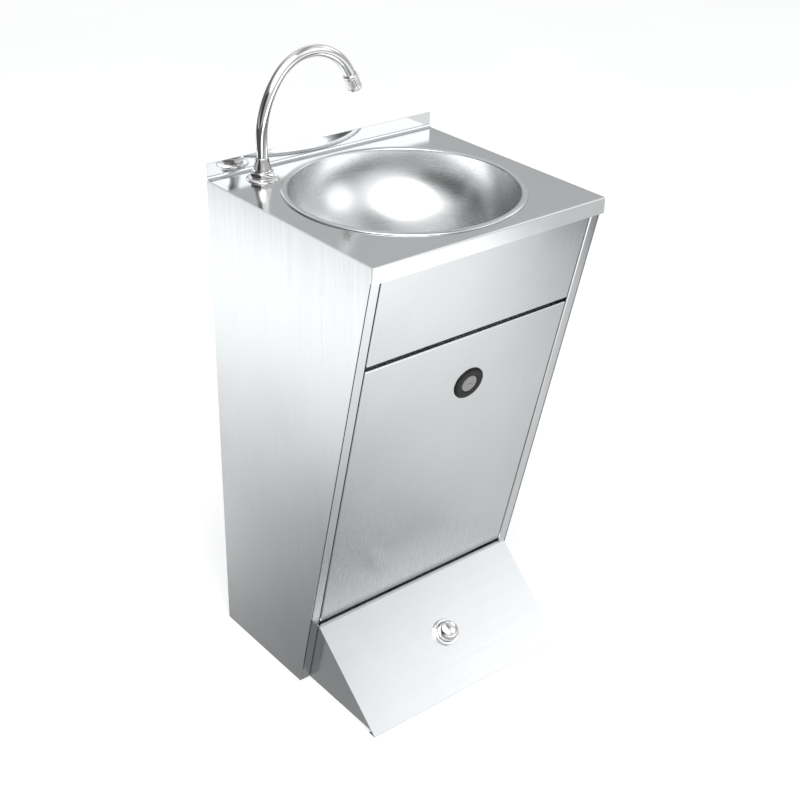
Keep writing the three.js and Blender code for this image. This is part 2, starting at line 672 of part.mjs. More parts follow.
/** The black trim ring that lies on the door's face. */
const rosette = () => turned([
  [LATCH_BARREL_RADIUS - 1.5, -GAP], [ROSETTE_RADIUS - 0.5, -GAP], [ROSETTE_RADIUS, -1.2],
  [ROSETTE_RADIUS - 2.5, -ROSETTE_HEIGHT + 0.6], [ROSETTE_RADIUS - 6, -ROSETTE_HEIGHT],
  [LATCH_CORE_RADIUS + 1.2, -ROSETTE_HEIGHT + 0.8], [LATCH_CORE_RADIUS + GAP, -ROSETTE_HEIGHT + 1.6],
  [LATCH_CORE_RADIUS + GAP, -1.6], [LATCH_BARREL_RADIUS - 1.5, -1.6],
], 28);

/** The barrel behind the ring, through the door, with the bore that the core turns in. */
const latchBarrel = () => turned([
  [LATCH_CORE_RADIUS + GAP, -1.2], [LATCH_BARREL_RADIUS - 1.9, -1.2], [LATCH_BARREL_RADIUS - 1.9, GAP],
  [LATCH_BARREL_RADIUS, GAP], [LATCH_BARREL_RADIUS, LATCH_BARREL_LENGTH],
  [LATCH_SHAFT_RADIUS + FIT, LATCH_BARREL_LENGTH], [LATCH_SHAFT_RADIUS + FIT, LATCH_BARREL_LENGTH - 3],
  [LATCH_CORE_RADIUS + GAP, LATCH_BARREL_LENGTH - 3],
], 24);

/** The nut that clamps the barrel against the inside of the door. */
const latchNut = () => cut(
  hexagon(LATCH_BARREL_RADIUS + LATCH_NUT_RIM, SHEET + GAP, SHEET + GAP + LATCH_NUT_HEIGHT),
  rod(LATCH_BARREL_RADIUS + FIT, 0, 12, 32),
);

/** The grey core: a disc flush with the ring, a narrow key slot and the shaft to the cam. */
function latchCore() {
  const face = -ROSETTE_HEIGHT + 1;
  const squareEnd = CAM_FRONT + CAM_THICKNESS - 0.5;
  const body = turned([
    [0, face], [LATCH_CORE_RADIUS - 0.6, face], [LATCH_CORE_RADIUS, face + 0.6],
    [LATCH_CORE_RADIUS, LATCH_BARREL_LENGTH - 4], [LATCH_SHAFT_RADIUS, LATCH_BARREL_LENGTH - 4],
    [LATCH_SHAFT_RADIUS, CAM_FRONT - GAP], [CAM_SQUARE_RADIUS, CAM_FRONT - GAP],
    [CAM_SQUARE_RADIUS, squareEnd], [0, squareEnd],
  ]);
  return cut(body, block(-KEY_SLOT_LENGTH / 2, KEY_SLOT_LENGTH / 2,
    -KEY_SLOT_WIDTH / 2, KEY_SLOT_WIDTH / 2, face - 1, face + 3));
}

/** The cam: a flat finger that points sideways when the latch is open. */
function latchCam() {
  const half = CAM_WIDTH / 2;
  const outline = new THREE.Shape()
    .absarc(0, 0, half, Math.PI / 2, (3 * Math.PI) / 2)
    .lineTo(CAM_LENGTH - 4, -half + 2)
    .absarc(CAM_LENGTH - 4, 0, half - 2, -Math.PI / 2, Math.PI / 2)
    .lineTo(0, half);
  const plate = new THREE.ExtrudeGeometry(outline, {
    depth: CAM_THICKNESS, bevelEnabled: false, curveSegments: 8,
  }).translate(0, 0, CAM_FRONT);
  return cut(plate, rod(CAM_SQUARE_RADIUS + FIT, CAM_FRONT - 1, CAM_FRONT + CAM_THICKNESS + 1, 20));
}

const camScrew = () => {
  const seat = CAM_FRONT + CAM_THICKNESS + GAP;
  return turned([
    [0, seat], [CAM_SCREW_RADIUS, seat], [CAM_SCREW_RADIUS, seat + 0.3 * CAM_SCREW_HEIGHT],
    [0.7 * CAM_SCREW_RADIUS, seat + CAM_SCREW_HEIGHT], [0, seat + CAM_SCREW_HEIGHT],
  ], 6);
};

front.add(
  mesh('door_panel', doorPanel(), panelSteel()),
  mesh('door_stiffener', doorStiffener(), zincSteel()),
);
for (const [side, word] of [[-1, 'left'], [1, 'right']]) {
  front.add(
    mesh(`hinge_pin_${word}`, hingePin(side), zincSteel()),
    mesh(`hinge_washer_${word}`, hingeWasher(side), blackPlastic()),
  );
}
latch.add(
  mesh('latch_rosette', rosette(), blackPlastic()),
  mesh('latch_barrel', latchBarrel(), blackPlastic()),
  mesh('latch_nut', latchNut(), blackPlastic()),
  mesh('latch_core', latchCore(), nickel()),
  mesh('latch_cam', latchCam(), zincSteel()),
  mesh('latch_cam_screw', camScrew(), zincSteel()),
);

// ---------------------------------------------------------------- kick plinth and foot pump

/** The plinth: a sloping face, a ledge at its top, a toe flange on the floor and two cheeks. */
function kickPlinth() {
  const half = PLINTH_WIDTH / 2;
  const inX = Math.sin(PLINTH_SLOPE) * SHEET;
  const inZ = Math.cos(PLINTH_SLOPE) * SHEET;
  const toeIn = SHEET / Math.sin(PLINTH_SLOPE);
  const face = alongX([
    [PLINTH_TOE_Y, 0], [PLINTH_TOP_Y, PLINTH_HEIGHT],
    [PLINTH_TOP_Y + inX, PLINTH_HEIGHT - inZ], [PLINTH_TOE_Y + toeIn, 0],
  ], -half, half);
  const ledgeY = frontYAt(PLINTH_HEIGHT) - SEAM;
  const ledge = block(-half, half, PLINTH_TOP_Y, ledgeY, PLINTH_HEIGHT - SHEET, PLINTH_HEIGHT);
  const tongue = block(-CHEEK_X, CHEEK_X, PLINTH_TOP_Y, ledgeY + CHEEK_DEPTH,
    PLINTH_HEIGHT - SHEET, PLINTH_HEIGHT);
  const toe = block(-half, half, PLINTH_TOE_Y + toeIn / 2, PLINTH_TOE_Y + TOE_FLANGE, 0, SHEET);
  const cheek = alongX([
    [PLINTH_TOE_Y + toeIn / 2, 0], [PLINTH_TOP_Y + inX / 2, PLINTH_HEIGHT - inZ / 2],
    [ledgeY + CHEEK_DEPTH, PLINTH_HEIGHT - SHEET / 2], [FOOT_Y + CHEEK_DEPTH, 0],
  ], CHEEK_X - SHEET, CHEEK_X);
  const buttonHole = rod(BUTTON_RADIUS + FIT + COLLAR_WALL + 2 * FIT, -8, 8, 40);
  slope.updateMatrixWorld(true);
  buttonHole.applyMatrix4(slope.matrixWorld);
  return cut(join(face, ledge, tongue, toe, cheek, mirrored(cheek, -1)), buttonHole);
}

/** The chrome collar that guides the button and clamps the pump under the face. */
function buttonCollar() {
  const bore = BUTTON_RADIUS + FIT;
  const sleeve = bore + COLLAR_WALL;
  const rounding = arc(COLLAR_RADIUS - 3, COLLAR_HEIGHT - 3, 3, 0, Math.PI / 2, 3);
  return turned([
    [bore, -COLLAR_SLEEVE], [sleeve, -COLLAR_SLEEVE], [sleeve, GAP], [COLLAR_RADIUS, GAP],
    ...rounding, [bore + 0.8, COLLAR_HEIGHT], [bore, COLLAR_HEIGHT - 0.8],
  ], 28);
}

const stemEnd = -PUMP_CHAMBER_DEPTH + STEM_CLEARANCE;
const plungerTop = stemEnd - GAP;

/** The chrome button: a skirt that slides in the collar, a domed top and the stem below. */
function footButton() {
  const dome = arc(0, 0, 1, 0, Math.PI / 2, 5)
    .map(([c, s]) => [BUTTON_RADIUS * c, BUTTON_SKIRT_TOP + (BUTTON_TOP - BUTTON_SKIRT_TOP) * s]);
  dome[dome.length - 1][0] = 0;
  return turned([
    [0, stemEnd], [STEM_RADIUS, stemEnd], [STEM_RADIUS, -BUTTON_BOTTOM],
    [BUTTON_RADIUS, -BUTTON_BOTTOM], ...dome,
  ], 28);
}

/** The pump's body: a wide chamber for the spring, a bore for the plunger and two side ports. */
function pumpBody() {
  const rim = -SHEET - GAP;
  const chamber = BUTTON_RADIUS + 2 * FIT + COLLAR_WALL;
  const shell = turned([
    [0, -PUMP_LENGTH], [PUMP_RADIUS, -PUMP_LENGTH], [PUMP_RADIUS, rim], [chamber, rim],
    [chamber, -PUMP_CHAMBER_DEPTH], [PUMP_BORE_RADIUS, -PUMP_CHAMBER_DEPTH],
    [PUMP_BORE_RADIUS, -PUMP_BORE_END], [0, -PUMP_BORE_END],
  ], 24);
  const tee = rodX(PORT_RADIUS, -PORT_REACH, PORT_REACH, 0, -PORT_DEPTH);
  const hollow = rod(PUMP_BORE_RADIUS, -PUMP_BORE_END, -PUMP_CHAMBER_DEPTH, 24);
  const way = rodX(WATER_PIPE_RADIUS - 1, -PORT_REACH - 1, PORT_REACH + 1, 0, -PORT_DEPTH, 12);
  return cut(join(shell, tee), hollow, way);
}

/** The plunger below the stem, with a groove for its seal. */
function pumpPlunger() {
  const top = plungerTop;
  const radius = PUMP_BORE_RADIUS - FIT;
  const middle = top - PLUNGER_LENGTH / 2;
  const groove = radius - 2 * SEAL_RADIUS - 0.2;
  return turned([
    [0, top - PLUNGER_LENGTH], [radius, top - PLUNGER_LENGTH],
    [radius, middle - SEAL_RADIUS - GAP], [groove, middle - SEAL_RADIUS - GAP],
    [groove, middle + SEAL_RADIUS + GAP], [radius, middle + SEAL_RADIUS + GAP],
    [radius, top], [0, top],
  ]);
}

/** The plunger's rubber seal. */
function pumpSeal() {
  const middle = plungerTop - PLUNGER_LENGTH / 2;
  return turned(arc(PUMP_BORE_RADIUS - FIT - SEAL_RADIUS, middle, SEAL_RADIUS, 0, 2 * Math.PI, 6)
    .slice(0, -1));
}

/** The return spring around the stem, drawn at the length that it has when the button is down. */
function pumpSpring() {
  const rise = SPRING_ROOM - 2 * SPRING_WIRE;
  const turns = Math.floor(rise / (2 * SPRING_WIRE + SPRING_TURN_GAP));
  const bottom = -PUMP_CHAMBER_DEPTH + GAP + SPRING_WIRE;
  const points = [];
  for (let i = 0; i <= turns * 12; i += 1) {
    const angle = (i * Math.PI) / 6;
    points.push([SPRING_RADIUS * Math.cos(angle), SPRING_RADIUS * Math.sin(angle),
      bottom + (rise * i) / (turns * 12)]);
  }
  return pipe(points, SPRING_WIRE, turns * 10, 3);
}

const portNut = (side) => mirrored(cut(
  hexagon(PORT_NUT_RADIUS, PORT_REACH - PORT_NUT_LENGTH, PORT_REACH),
  rod(PORT_RADIUS + FIT, PORT_REACH - 20, PORT_REACH + 10, 20),
).rotateY(Math.PI / 2).translate(0, 0, -PORT_DEPTH), side);

sink.add(mesh('kick_plinth', kickPlinth(), panelSteel()));
slope.add(
  mesh('button_collar', buttonCollar(), chrome()),
  mesh('foot_button', footButton(), chrome()),
  mesh('pump_body', pumpBody(), pumpPlastic()),
  mesh('pump_plunger', pumpPlunger(), greyPlastic()),
  mesh('pump_seal', pumpSeal(), blackRubber()),
  mesh('pump_spring', pumpSpring(), zincSteel()),
  mesh('suction_nut', portNut(-1), blackPlastic()),
  mesh('delivery_nut', portNut(1), blackPlastic()),
);

// ---------------------------------------------------------------- spout

const spout = new THREE.Group();
spout.position.set(SPOUT_X, SPOUT_Y, WORKTOP_HEIGHT);
sink.add(spout);

const hexBottom = SPOUT_FLANGE_HEIGHT + 2 * GAP;
const coneBottom = hexBottom + SPOUT_HEX_HEIGHT + GAP;
const tubeBottom = coneBottom + 1;

/** The dished washer that covers the hole in the worktop. */
const spoutFlange = () => turned([
  [SHANK_RADIUS + FIT, GAP], [SPOUT_FLANGE_RADIUS, GAP], [SPOUT_FLANGE_RADIUS, GAP + 1],
  [SPOUT_FLANGE_RADIUS - 3, SPOUT_FLANGE_HEIGHT - 1], [SPOUT_FLANGE_RADIUS - 8, SPOUT_FLANGE_HEIGHT + GAP],
  [SHANK_RADIUS + FIT, SPOUT_FLANGE_HEIGHT + GAP],
], 28);

const spoutHexBase = () => cut(
  hexagon(SPOUT_HEX_RADIUS, hexBottom, hexBottom + SPOUT_HEX_HEIGHT).rotateZ(SPOUT_HEX_TURN),
  rod(SHANK_RADIUS + FIT, 0, 30, 24),
);

/** The tapered collar that the swivelling tube stands in. */
const spoutCone = () => turned([
  [SPOUT_TUBE_RADIUS + FIT, coneBottom], [SPOUT_CONE_RADIUS, coneBottom],
  [SPOUT_CONE_RADIUS, coneBottom + 3], [SPOUT_TUBE_RADIUS + 2, coneBottom + SPOUT_CONE_HEIGHT - 3],
  [SPOUT_TUBE_RADIUS + 1.6, coneBottom + SPOUT_CONE_HEIGHT],
  [SPOUT_TUBE_RADIUS + FIT, coneBottom + SPOUT_CONE_HEIGHT],
], 24);

/** The threaded shank through the worktop, with the water way up its middle. */
const spoutShank = () => ring(SHANK_RADIUS - 3, SHANK_RADIUS, -SHANK_LENGTH, coneBottom - GAP, 24);

const spoutLocknut = () => cut(
  hexagon(LOCKNUT_RADIUS, -SHEET - GAP - LOCKNUT_HEIGHT, -SHEET - GAP),
  rod(SHANK_RADIUS + FIT, -30, 0, 24),
);

/** The middle of the bend's second, tighter part. */
const bendX = SPOUT_RISE_BEND - (SPOUT_RISE_BEND - SPOUT_BEND) * Math.cos(SPOUT_RISE_SWEEP);
const bendZ = SPOUT_RISER + (SPOUT_RISE_BEND - SPOUT_BEND) * Math.sin(SPOUT_RISE_SWEEP);

/** The bent tube: a riser, a bend that tightens over the basin and a short straight end. */
function spoutTube() {
  const points = [];
  for (let i = 0; i < 6; i += 1) points.push([0, 0, tubeBottom + ((SPOUT_RISER - tubeBottom) * i) / 6]);
  for (const [c, s] of arc(0, 0, SPOUT_RISE_BEND, 0, SPOUT_RISE_SWEEP, 7).slice(0, -1)) {
    points.push([SPOUT_RISE_BEND - c, 0, SPOUT_RISER + s]);
  }
  for (const [c, s] of arc(0, 0, SPOUT_BEND, SPOUT_RISE_SWEEP, SPOUT_SWEEP, 16)) {
    points.push([bendX - c, 0, bendZ + s]);
  }
  const [x, , z] = points[points.length - 1];
  points.push([x + SPOUT_END * Math.sin(SPOUT_SWEEP), 0, z + SPOUT_END * Math.cos(SPOUT_SWEEP)]);
  return pipe(points, SPOUT_TUBE_RADIUS, 32, 7, SPOUT_TUBE_RADIUS - SPOUT_WALL);
}

/** The aerator's frame: Z runs out of the tube's mouth. */
const mouth = new THREE.Group();
mouth.position.set(
  bendX - SPOUT_BEND * Math.cos(SPOUT_SWEEP) + SPOUT_END * Math.sin(SPOUT_SWEEP), 0,
  bendZ + SPOUT_BEND * Math.sin(SPOUT_SWEEP) + SPOUT_END * Math.cos(SPOUT_SWEEP),
);
mouth.rotation.y = SPOUT_SWEEP;
spout.add(mouth);

const aeratorEnd = AERATOR_LENGTH - AERATOR_GRIP;
const aerator = () => {
  const bore = AERATOR_RADIUS - AERATOR_WALL;
  const edge = AERATOR_RADIUS - AERATOR_CHAMFER;
  return turned([
    [SPOUT_TUBE_RADIUS + FIT, -AERATOR_GRIP], [edge, -AERATOR_GRIP],
    [AERATOR_RADIUS, -AERATOR_GRIP + AERATOR_CHAMFER], [AERATOR_RADIUS, aeratorEnd - AERATOR_CHAMFER],
    [edge, aeratorEnd], [bore, aeratorEnd], [bore, GAP], [SPOUT_TUBE_RADIUS + FIT, GAP],
  ]);
};

function aeratorInsert() {
  const end = aeratorEnd - INSERT_RECESS;
  const disc = rod(AERATOR_RADIUS - AERATOR_WALL - GAP, end - INSERT_THICKNESS, end, 24);
  const pitch = (AERATOR_RADIUS - AERATOR_WALL) * 0.55;
  const holes = [];
  for (let i = 0; i < INSERT_HOLES; i += 1) {
    const angle = (i * 2 * Math.PI) / INSERT_HOLES;
    holes.push(rod(INSERT_HOLE_RADIUS, 0, end + 5, 8)
      .translate(pitch * Math.cos(angle), pitch * Math.sin(angle), 0));
  }
  return cut(disc, ...holes);
}

spout.add(
  mesh('spout_flange', spoutFlange(), chrome()),
  mesh('spout_hex_base', spoutHexBase(), chrome()),
  mesh('spout_cone', spoutCone(), chrome()),
  mesh('spout_shank', spoutShank(), zincSteel()),
  mesh('spout_locknut', spoutLocknut(), zincSteel()),
  mesh('spout_tube', spoutTube(), chrome()),
);
mouth.add(
  mesh('aerator', aerator(), chrome()),
  mesh('aerator_insert', aeratorInsert(), greyPlastic()),
);

// ---------------------------------------------------------------- tanks and pipes

/** A block tank with round corners, hollow, and open at its neck. */
function tank() {
  const body = (inset, z0, z1) => {
    const hx = TANK_WIDTH / 2 - inset;
    const hy = TANK_DEPTH / 2 - inset;
    const r = TANK_CORNER - inset;
    const shape = new THREE.Shape()
      .absarc(hx - r, hy - r, r, 0, Math.PI / 2)
      .absarc(-hx + r, hy - r, r, Math.PI / 2, Math.PI)
      .absarc(-hx + r, -hy + r, r, Math.PI, 1.5 * Math.PI)
      .absarc(hx - r, -hy + r, r, 1.5 * Math.PI, 2 * Math.PI);
    return new THREE.ExtrudeGeometry(shape, { depth: z1 - z0, bevelEnabled: false, curveSegments: 4 })
      .translate(0, 0, z0);
  };
  const neck = rod(NECK_RADIUS, TANK_HEIGHT - 2, TANK_HEIGHT + NECK_HEIGHT);
  const outside = join(body(0, 0, TANK_HEIGHT), neck);
  return cut(outside, body(TANK_WALL, TANK_WALL, TANK_HEIGHT - TANK_WALL),
    rod(NECK_RADIUS - TANK_WALL, TANK_HEIGHT - 10, TANK_HEIGHT + NECK_HEIGHT + 5))
    .translate(0, TANK_Y, TANK_FLOOR_Z);
}

/** A screw cap with a hole for its pipe. */
function tankCap(pipeRadius) {
  const hole = pipeRadius + PIPE_FIT;
  const bottom = TANK_TOP_Z + CAP_CLEARANCE;
  const top = bottom + CAP_HEIGHT;
  const roof = TANK_TOP_Z + NECK_HEIGHT + GAP;
  return turned([
    [NECK_RADIUS + FIT, bottom], [CAP_RADIUS, bottom], [CAP_RADIUS, top - CAP_CHAMFER],
    [CAP_RADIUS - CAP_CHAMFER, top], [hole, top], [hole, roof],
    [NECK_RADIUS + FIT, roof],
  ]).translate(0, TANK_Y, 0);
}

slope.updateMatrixWorld(true);
const port = (side) =>
  new THREE.Vector3(side * (PORT_REACH + GAP), 0, -PORT_DEPTH).applyMatrix4(slope.matrixWorld);

/** From the fresh tank's floor, up through its cap, down the front and into the pump. */
function suctionPipe() {
  const inlet = port(-1);
  const riseY = TANK_Y - TANK_DEPTH / 2 - 18;
  const over = TANK_TOP_Z + 95;
  return pipe([
    [-TANK_X, TANK_Y, TANK_FLOOR_Z + 14],
    [-TANK_X, TANK_Y, TANK_FLOOR_Z + 120],
    [-TANK_X, TANK_Y, TANK_TOP_Z - 20],
    [-TANK_X, TANK_Y, TANK_TOP_Z + 10],
    [-TANK_X, TANK_Y, TANK_TOP_Z + 60],
    [-TANK_X + 6, TANK_Y - 24, over],
    [-TANK_X + 16, riseY + 30, over],
    [-TANK_X + 22, riseY, over - 40],
    [-TANK_X + 22, riseY, 200],
    [-TANK_X + 24, riseY - 4, 80],
    [-TANK_X + 26, inlet.y + 50, inlet.z + 4],
    [inlet.x - 42, inlet.y + 6, inlet.z],
    [inlet.x - 20, inlet.y, inlet.z],
    [inlet.x, inlet.y, inlet.z],
  ], WATER_PIPE_RADIUS, 48, 4);
}

/** From the pump, up between the tanks and along the back to the spout's shank. */
function deliveryPipe() {
  const outlet = port(1);
  const riseY = TANK_Y - TANK_DEPTH / 2 - 18;
  const shankEnd = WORKTOP_HEIGHT - SHANK_LENGTH - GAP;
  return pipe([
    [outlet.x, outlet.y, outlet.z],
    [outlet.x + 20, outlet.y, outlet.z],
    [outlet.x + 40, outlet.y + 12, outlet.z],
    [outlet.x + 20, outlet.y + 66, outlet.z + 2],
    [8, riseY, outlet.z + 20],
    [0, riseY + 6, 120],
    [0, riseY + 60, 240],
    [0, TANK_Y + 50, TANK_TOP_Z],
    [-20, TANK_BACK_Y - 14, TANK_TOP_Z + 110],
    [-110, TANK_BACK_Y - 14, shankEnd - 180],
    [SPOUT_X, SPOUT_Y + 6, shankEnd - 70],
    [SPOUT_X, SPOUT_Y, shankEnd - 20],
    [SPOUT_X, SPOUT_Y, shankEnd],
  ], WATER_PIPE_RADIUS, 48, 4);
}

/** From the basin's tailpiece, back and down through the waste tank's cap. */
function wastePipe() {
  const start = drainEndZ - 24;
  return pipe([
    [0, 0, start],
    [0, 0, start - 20],
    [0, 0, start - 40],
    [14, 20, start - 80],
    [TANK_X - 20, TANK_Y - 12, TANK_TOP_Z + 130],
    [TANK_X, TANK_Y, TANK_TOP_Z + 80],
    [TANK_X, TANK_Y, TANK_TOP_Z + 50],
    [TANK_X, TANK_Y, TANK_TOP_Z + 10],
    [TANK_X, TANK_Y, TANK_TOP_Z - 30],
  ], WASTE_PIPE_RADIUS, 28, 5);
}

sink.add(
  mesh('fresh_tank', tank().translate(-TANK_X, 0, 0), tankPlastic()),
  mesh('fresh_tank_cap', tankCap(WATER_PIPE_RADIUS).translate(-TANK_X, 0, 0), bluePlastic()),
  mesh('waste_tank', tank().translate(TANK_X, 0, 0), tankPlastic()),
  mesh('waste_tank_cap', tankCap(WASTE_PIPE_RADIUS).translate(TANK_X, 0, 0), greyPlastic()),
  mesh('suction_pipe', suctionPipe(), greyPlastic()),
  mesh('delivery_pipe', deliveryPipe(), bluePlastic()),
  mesh('waste_pipe', wastePipe(), greyPlastic()),
);

export default sink;
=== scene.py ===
# %% [markdown]
# # A stainless hand-wash cabinet
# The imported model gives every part's place and size. This lesson dresses it: the sheet-metal skins
# get real bends, the turned and pressed parts get round surfaces, and every finish gets a material
# with grain, handling marks and soft edges. Everything is in metres, and nothing is moved.

# %% The frame
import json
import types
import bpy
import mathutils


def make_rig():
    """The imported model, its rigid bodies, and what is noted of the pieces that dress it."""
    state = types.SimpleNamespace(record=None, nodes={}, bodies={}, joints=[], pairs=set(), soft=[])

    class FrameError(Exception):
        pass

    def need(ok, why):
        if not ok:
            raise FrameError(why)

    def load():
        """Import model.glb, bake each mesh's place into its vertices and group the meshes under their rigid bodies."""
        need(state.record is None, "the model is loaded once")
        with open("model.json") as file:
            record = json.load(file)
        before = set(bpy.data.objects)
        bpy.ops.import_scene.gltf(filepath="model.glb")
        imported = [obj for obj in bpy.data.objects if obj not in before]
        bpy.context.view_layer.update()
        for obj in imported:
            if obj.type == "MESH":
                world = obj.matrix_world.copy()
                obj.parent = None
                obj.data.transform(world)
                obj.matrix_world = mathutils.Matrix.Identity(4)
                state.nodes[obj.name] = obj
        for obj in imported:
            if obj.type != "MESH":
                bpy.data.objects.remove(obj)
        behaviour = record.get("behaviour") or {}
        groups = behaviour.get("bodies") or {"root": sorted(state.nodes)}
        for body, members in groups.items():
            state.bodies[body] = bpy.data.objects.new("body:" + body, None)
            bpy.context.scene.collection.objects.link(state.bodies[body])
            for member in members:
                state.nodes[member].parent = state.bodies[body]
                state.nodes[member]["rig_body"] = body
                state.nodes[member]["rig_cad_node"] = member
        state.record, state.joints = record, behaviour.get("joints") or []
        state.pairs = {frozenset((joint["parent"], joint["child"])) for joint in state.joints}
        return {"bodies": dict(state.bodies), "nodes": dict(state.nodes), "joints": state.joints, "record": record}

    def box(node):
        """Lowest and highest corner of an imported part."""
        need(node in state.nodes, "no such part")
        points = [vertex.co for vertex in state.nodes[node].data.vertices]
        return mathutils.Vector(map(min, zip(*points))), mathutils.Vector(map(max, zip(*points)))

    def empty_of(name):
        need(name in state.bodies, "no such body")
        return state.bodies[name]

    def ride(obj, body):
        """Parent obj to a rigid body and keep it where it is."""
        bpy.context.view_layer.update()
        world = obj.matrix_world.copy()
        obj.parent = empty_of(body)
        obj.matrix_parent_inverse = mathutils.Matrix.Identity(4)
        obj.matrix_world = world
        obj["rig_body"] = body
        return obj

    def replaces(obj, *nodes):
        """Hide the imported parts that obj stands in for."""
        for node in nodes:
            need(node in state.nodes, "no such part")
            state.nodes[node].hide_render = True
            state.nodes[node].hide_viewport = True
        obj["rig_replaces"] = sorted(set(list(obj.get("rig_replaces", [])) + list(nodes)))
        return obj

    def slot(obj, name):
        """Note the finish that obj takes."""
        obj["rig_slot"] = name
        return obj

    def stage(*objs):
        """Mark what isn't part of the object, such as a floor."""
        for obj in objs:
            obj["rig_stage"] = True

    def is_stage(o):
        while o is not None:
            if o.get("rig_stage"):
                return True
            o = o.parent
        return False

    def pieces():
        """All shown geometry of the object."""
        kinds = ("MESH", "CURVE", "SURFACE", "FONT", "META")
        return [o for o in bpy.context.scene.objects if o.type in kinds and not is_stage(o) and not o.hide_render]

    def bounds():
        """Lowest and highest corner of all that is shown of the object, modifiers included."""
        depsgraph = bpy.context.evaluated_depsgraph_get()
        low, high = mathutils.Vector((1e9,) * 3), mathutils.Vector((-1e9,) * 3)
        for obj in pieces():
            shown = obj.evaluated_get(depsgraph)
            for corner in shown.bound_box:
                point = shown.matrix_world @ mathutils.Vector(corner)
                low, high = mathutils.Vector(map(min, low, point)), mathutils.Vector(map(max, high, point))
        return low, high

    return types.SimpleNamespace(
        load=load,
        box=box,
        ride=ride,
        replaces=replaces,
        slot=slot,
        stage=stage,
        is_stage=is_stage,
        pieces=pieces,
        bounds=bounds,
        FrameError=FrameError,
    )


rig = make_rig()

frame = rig.load()

import json
import math

import bmesh
import bpy
import numpy as np
from mathutils import Quaternion, Vector

cad_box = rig.bounds()
joints = {joint["name"]: joint for joint in frame["joints"]}
print("nodes", len(frame["nodes"]), "joints", sorted(joints))

# %% [markdown]
# ## Where things are
# Three joints say where the slanted parts lie. The latch turns about the front's own normal, the
# button slides along the plinth's normal, and the spout stands on the worktop. From those come
# small frames, so that a shape can be drawn flat and then be set in its place.

# %% Places worked out from the frame
SHEET = 0.0015
GAP = 0.0003
ACROSS = np.array([1.0, 0.0, 0.0])
UP = np.array([0.0, 0.0, 1.0])


def corners(node):
    """A node's lowest and highest corners, as arrays."""
    return tuple(np.array(corner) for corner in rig.box(node))


def middle(node):
    """The middle of a node's box."""
    low, high = corners(node)
    return (low + high) / 2


work_low, work_high = corners("worktop")
spout_foot = np.array(joints["spout_swivel"]["pos_m"])
TOP_Z = spout_foot[2]
latch_point = np.array(joints["latch_turn"]["pos_m"])
latch_out = np.array(joints["latch_turn"]["axis"])
button_out = -np.array(joints["foot_button_press"]["axis"])
LEAN = math.atan2(-latch_out[2], -latch_out[1])
FOOT_Y = latch_point[1] + latch_point[2] * math.tan(LEAN)


def on_front(x, d, s):
    """A point of the leaning front: x across, d inwards from its face, s up it from the floor."""
    x, d, s = np.broadcast_arrays(x, d, s)
    y = FOOT_Y - s * math.sin(LEAN) + d * math.cos(LEAN)
    return np.stack([x, y, s * math.cos(LEAN) + d * math.sin(LEAN)], -1)


def set_in(points, origin, out, across=ACROSS):
    """Turns flat-drawn points so that their Z runs along out and their X along across."""
    up = out / np.linalg.norm(out)
    side = across - up * (across @ up)
    side = side / np.linalg.norm(side)
    return points @ np.stack([side, np.cross(up, side), up]) + origin


COLLAR_HEIGHT, COLLAR_SLEEVE, SLEEVE_RADIUS = 0.005, 0.014, 0.0206
collar_low, collar_high = corners("button_collar")
button_foot = np.array([
    (collar_low[0] + collar_high[0]) / 2,
    collar_high[1] + button_out[1] * COLLAR_SLEEVE - button_out[2] * SLEEVE_RADIUS,
    collar_low[2] + button_out[2] * COLLAR_SLEEVE - button_out[1] * SLEEVE_RADIUS])
print("lean", round(math.degrees(LEAN), 2), "button at", button_foot.round(4))

# %% [markdown]
# ## The camera
# The object is seen from its left front, from well above the worktop, through a lens of about
# 63 mm. A long lens keeps the upright edges nearly parallel. The camera comes first, so that each
# finish can be judged from where it is seen.

# %% The camera
AZIMUTH, ELEVATION, ROLL = (math.radians(angle) for angle in (-39.47, 29.2, 1.21))
DISTANCE = 2.3241
TARGET = np.array([-0.00015, 0.0, 0.47668])

camera = bpy.data.objects.new("camera", bpy.data.cameras.new("camera"))
bpy.context.scene.collection.objects.link(camera)
camera.data.sensor_width = 36.0
camera.data.lens = 62.58
towards = np.array([math.sin(AZIMUTH) * math.cos(ELEVATION),
                    -math.cos(AZIMUTH) * math.cos(ELEVATION), math.sin(ELEVATION)])
camera.location = Vector(TARGET + DISTANCE * towards)
camera.rotation_mode = "QUATERNION"
level = Vector(-towards).to_track_quat("-Z", "Y")
camera.rotation_quaternion = level @ Quaternion((0, 0, 1), ROLL)
bpy.context.scene.camera = camera

# %% [markdown]
# ## Surfaces from arrays
# A mesh could be pushed into shape by hand, but metalwork is easier to say as a formula. Every
# surface here is a grid of points: two parameters, computed as whole arrays. A small set of
# helpers turns grids into meshes, welds the seams and poles, and gives sheets their thickness.

# %% From grids to a mesh
WELD = 2e-6


def grid_faces(shape, wrap_rows, wrap_columns):
    """Quads of a grid: each joins a point to its neighbours in the next row and the next column."""
    rows, columns = shape
    r = np.arange(rows if wrap_rows else rows - 1)[:, None]
    c = np.arange(columns if wrap_columns else columns - 1)[None, :]
    r, c = np.broadcast_arrays(r, c)
    r2, c2 = (r + 1) % rows, (c + 1) % columns
    quads = [r * columns + c, r2 * columns + c, r2 * columns + c2, r * columns + c2]
    return np.stack(quads, -1).reshape(-1, 4)


def per_item(items, what, width=1):
    """One value of every vertex or face, as an array with a row for each."""
    values = np.zeros(len(items) * width)
    items.foreach_get(what, values)
    return values.reshape(-1, width) if width > 1 else values


